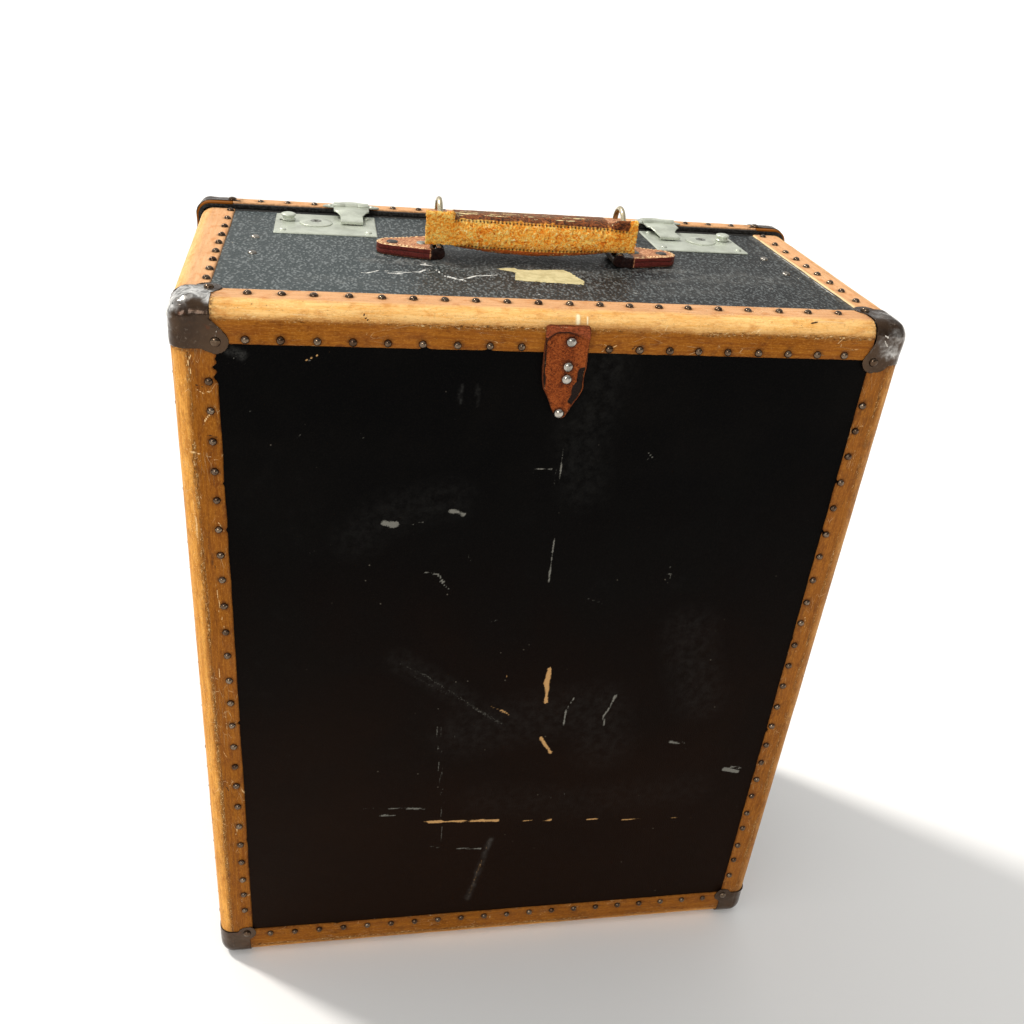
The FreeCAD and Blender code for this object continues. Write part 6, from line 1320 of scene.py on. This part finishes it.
# curl valleys painted deep orange: painted shade between curls; also a darker band above the lower stitch row
zn[:, 1] = np.clip(0.95 * smooth(0.05, 0.60, -curl) * (1 - calm) + 0.5 * np.exp(-((z - low_row - 1.8) / 1.6) ** 2) * pad * walls, 0, 1)
set_masks(me, zn, "zone")
finish_mesh(me, None)
adopt(ob, "handle_grip", SUEDE)
ob = refine("handle_core", CHAPE, 0.5, 2)
ob = heads("chape_rivet_heads", "chape_rivets", [((-0.5 + s * (62.5 + dx), -0.5, 561.2), (0, 0, 1)) for s in (-1, 1) for dx in (12.0, 32.0)], 8.0, 0.9, FOOTRIVET, 0.6, seg=28)
co = get_co(ob.data)
outer = np.abs(co[:, 0] + 0.5) > 84.5
set_masks(ob.data, np.stack([np.where(outer, 0.0, 1.0), np.where(outer, 1.0, 0.0), 0 * co[:, 0]], 1))

# =============================================================== front tab
ob = voxel_copy("front_tab", 0.45, "front_tab_hide", 2)
me = ob.data
co, n = get_co(me), get_normals(me)
x, y, z = co.T
ins = outline_dist(np.stack([x, z, y], 1), 4.0, 515.0)
face = n[:, 1] < -0.5
lift = 0.30 * fbm(co / 4, 3, 0.6, 5) + 0.16 * fbm(co / 1.2, 3, 0.6, 6) - 0.9 * np.exp(-(ins / 1.3) ** 2) * face
wob = fbm(co / 5, 4, 0.6, 9)
# the smooth black skin has worn away but for a patch low on the right, a
# rim down the left and a fold across the top
torn_x = np.interp(z, [498.0, 500.4, 509.3, 513.8, 521.9, 524.0], [8.5, 4.9, 7.2, 10.7, 11.5, 15.0])
patch = smooth(-0.5, 0.6, x - torn_x + 1.2 * wob) * smooth(496.8, 498.6, z + 0.6 * wob) * smooth(524.5, 521.5, z)
rim = smooth(0.35, 0.0, (ins - 1.3 - 0.6 * smooth(520, 536, z) + 0.7 * wob) / 2.0) * smooth(3.0, -3.0, x) * smooth(506, 512, z) * smooth(543.0, 540.5, z)
fold_z = np.interp(x, [-14.0, -10.4, -4.7, 2.2, 7.6, 13.8, 18.0], [535.5, 539.7, 544.6, 545.0, 543.6, 540.4, 538.6]) + 0.6 * wob
fold = np.exp(-((z - fold_z) / (0.95 - 0.35 * smooth(0.0, 8.0, x))) ** 2) * smooth(17.0, 5.0, x)
lift -= 0.45 * patch * face + 0.55 * fold * face
lift += 0.55 * smooth(0.3, 1.6, z - fold_z) * face
set_co(me, co + lift[:, None] * n + np.stack([1.7 * np.exp(-((z - 505) / 8.0) ** 2), 0 * z, 0 * z], 1))
m = np.zeros((len(co), 3))
m[:, 0] = np.clip(np.maximum(np.maximum(patch, rim), 0.55 * fold), 0, 1) * face
m[:, 1] = np.maximum(0.5 * (~face) * (ins < 2), 0.85 * fold * face)
# a dark ring round each rivet head: painted shadow
for px, pz in ((4.7, 539.1), (4.4, 523.4), (4.4, 515.3), (2.0, 492.8)):
    m[:, 1] = np.maximum(m[:, 1], 0.95 * np.clip(1.6 - np.hypot(x - px, z - pz) / 3.2 + 0.25 * wob, 0, 1) * face)
m[:, 2] = 0.5 * np.exp(-((ins - 0.9) / 0.5) ** 2) * (n[:, 1] < -0.2) * smooth(0.0, 0.4, fbm(co / 7, 2, 0.5, 31))
set_masks(me, m)
zn = np.zeros((len(co), 3))
zn[:, 0] = np.clip(0.55 * smooth(0.2, 1.2, z - fold_z) * face, 0, 1)
set_masks(me, zn, "zone")
finish_mesh(me, None)
adopt(ob, "front_tab", TABHIDE)
heads("front_tab_rivet_heads", "front_tab_rivets", [((x, -124.5, z), (0, -1, 0)) for x, z in ((4.7, 539.1), (4.4, 523.4), (4.4, 515.3), (2.0, 492.8))], 6.6, 2.5, RIVET, 0.0, seg=28)

# =============================================================== paper label
def label():
    """What is left of a pasted paper label, bare, torn all round."""
    edge = [(-27.7, -30.7), (-14.9, -26.6), (-15.8, -35.8), (-11.7, -39.8), (23, -25.9), (27.2, -50.1), (25.4, -61.1), (-19.1, -56)]
    edge = [(-27.7, -30.7), (-21.0, -27.4), (-14.9, -27.0), (-14.2, -31.0), (-8.0, -30.4), (6.0, -28.6), (18.0, -27.0), (21.5, -32.0), (24.0, -41.0), (27.2, -50.1), (25.4, -58.6), (14.0, -57.6), (0.0, -56.6), (-12.0, -55.6), (-19.1, -54.0), (-17.4, -44.0), (-15.8, -37.4), (-21.0, -34.2)]
    pts = []
    for k, (a, b) in enumerate(zip(edge, edge[1:] + edge[:1])):
        a, b = np.array(a), np.array(b)
        L = np.linalg.norm(b - a)
        q = max(2, int(L / 0.7))
        nrm = np.array([b[1] - a[1], a[0] - b[0]]) / L
        for i in range(q):
            f = i / q
            pts.append(a + (b - a) * f + nrm * (0.35 * rng.normal() + 0.5 * float(n1(np.array([k * 37.0 + f * L]), 2.4, 61)[0])))
    bm = bmesh.new()
    ring = [bm.verts.new((p[0], p[1], 0)) for p in pts]
    bm.faces.new(ring)
    bmesh.ops.triangulate(bm, faces=bm.faces[:])
    for _ in range(3):
        bmesh.ops.subdivide_edges(bm, edges=[e for e in bm.edges if e.calc_length() > 3.0], cuts=1)
        bmesh.ops.triangulate(bm, faces=[f for f in bm.faces if len(f.verts) > 3])
    co = np.array([v.co[:] for v in bm.verts])
    P = np.stack([co[:, 0], co[:, 1], np.full(len(co), 9.0)], 1)
    sheet = 0.25 * fbm(P / 80, 3, 0.5, 2) + 0.08 * fbm(P / 14, 3, 0.5, 4) - 0.16
    curl = 0.10 * np.clip(fbm(P / 6, 2, 0.5, 71), 0, 1)
    for v, h, c in zip(bm.verts, np.minimum(sheet, 0.1), curl):
        v.co.z = PANEL_TOP + h + 0.16 + c
    got = bmesh.ops.extrude_face_region(bm, geom=bm.faces[:])
    for v in [g for g in got["geom"] if isinstance(g, bmesh.types.BMVert)]:
        v.co.z -= 0.32
    bmesh.ops.recalc_face_normals(bm, faces=bm.faces[:])
    me = bpy.data.meshes.new("paper_label")
    for v in bm.verts:
        v.co *= MM
    bm.to_mesh(me)
    bm.free()
    finish_mesh(me, 50)
    me.materials.append(PAPER)
    ob = bpy.data.objects.new("paper_label", me)
    scene.collection.objects.link(ob)
    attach(ob, "body")


label()

# =============================================================== stage
bm = bmesh.new()
bmesh.ops.create_grid(bm, x_segments=120, y_segments=120, size=120)
for v in bm.verts:
    v.co.z = 0.10 * max(0.0, v.co.xy.length - 20.0) - 0.0002
me = bpy.data.meshes.new("floor")
bm.to_mesh(me)
bm.free()
me.materials.append(FLOOR)
floor = bpy.data.objects.new("floor", me)
scene.collection.objects.link(floor)

world = bpy.data.worlds.new("studio")
scene.world = world
world.use_nodes = True
wt = world.node_tree
wt.nodes.clear()
wo, bg = wt.nodes.new("ShaderNodeOutputWorld"), wt.nodes.new("ShaderNodeBackground")
bg.inputs[0].default_value = (1.0, 0.99, 0.97, 1)
wt.links.new(bg.outputs[0], wo.inputs[0])
# a broad soft light, brighter up to the left
tc, dt, mr = wt.nodes.new("ShaderNodeTexCoord"), wt.nodes.new("ShaderNodeVectorMath"), wt.nodes.new("ShaderNodeMapRange")
dt.operation, mr.interpolation_type = "DOT_PRODUCT", "SMOOTHSTEP"
dt.inputs[1].default_value = Vector((-0.45, 0.30, 0.84)).normalized()
for i, v in ((1, -0.30), (2, 1.0), (3, 0.24), (4, 0.84)):
    mr.inputs[i].default_value = v
wt.links.new(tc.outputs["Generated"], dt.inputs[0])
wt.links.new(dt.outputs["Value"], mr.inputs[0])
wt.links.new(mr.outputs[0], bg.inputs[1])


def sun(name, toward, strength, angle, color):
    d = bpy.data.lights.new(name, "SUN")
    d.energy, d.angle, d.color = strength, math.radians(angle), color
    o = bpy.data.objects.new(name, d)
    scene.collection.objects.link(o)
    o.rotation_euler = Vector(toward).to_track_quat("Z", "Y").to_euler()
    return o


sun("key", (-0.50, 0.36, 0.80), 2.35, 6, (1.0, 0.96, 0.90))
sun("fill", (-0.30, -0.84, 0.46), 1.0, 22, (1.0, 0.97, 0.93))

# camera
C = Vector((-136.16, -665.11, 736.38)) * MM
yaw, pitch, roll, focal, cx, cy = 0.21224, 0.50911, 0.10102, 982.17, 514.79, 505.01
fw = Vector((math.sin(yaw) * math.cos(pitch), math.cos(yaw) * math.cos(pitch), -math.sin(pitch)))
rt = Vector((math.cos(yaw), -math.sin(yaw), 0))
up = rt.cross(fw)
r2 = rt * math.cos(roll) + up * math.sin(roll)
u2 = up * math.cos(roll) - rt * math.sin(roll)
cam_data = bpy.data.cameras.new("camera")
cam = bpy.data.objects.new("camera", cam_data)
scene.collection.objects.link(cam)
m = Matrix((r2, u2, -fw)).transposed().to_4x4()
m.translation = C
cam.matrix_world = m
cam_data.sensor_width = 36.0
cam_data.lens = focal / 1024 * 36.0
cam_data.shift_x = (512 - cx) / 1024
cam_data.shift_y = (cy - 512) / 1024
cam_data.clip_start, cam_data.clip_end = 0.01, 200
scene.camera = cam

scene.view_settings.view_transform = "Standard"
scene.view_settings.look = "None"
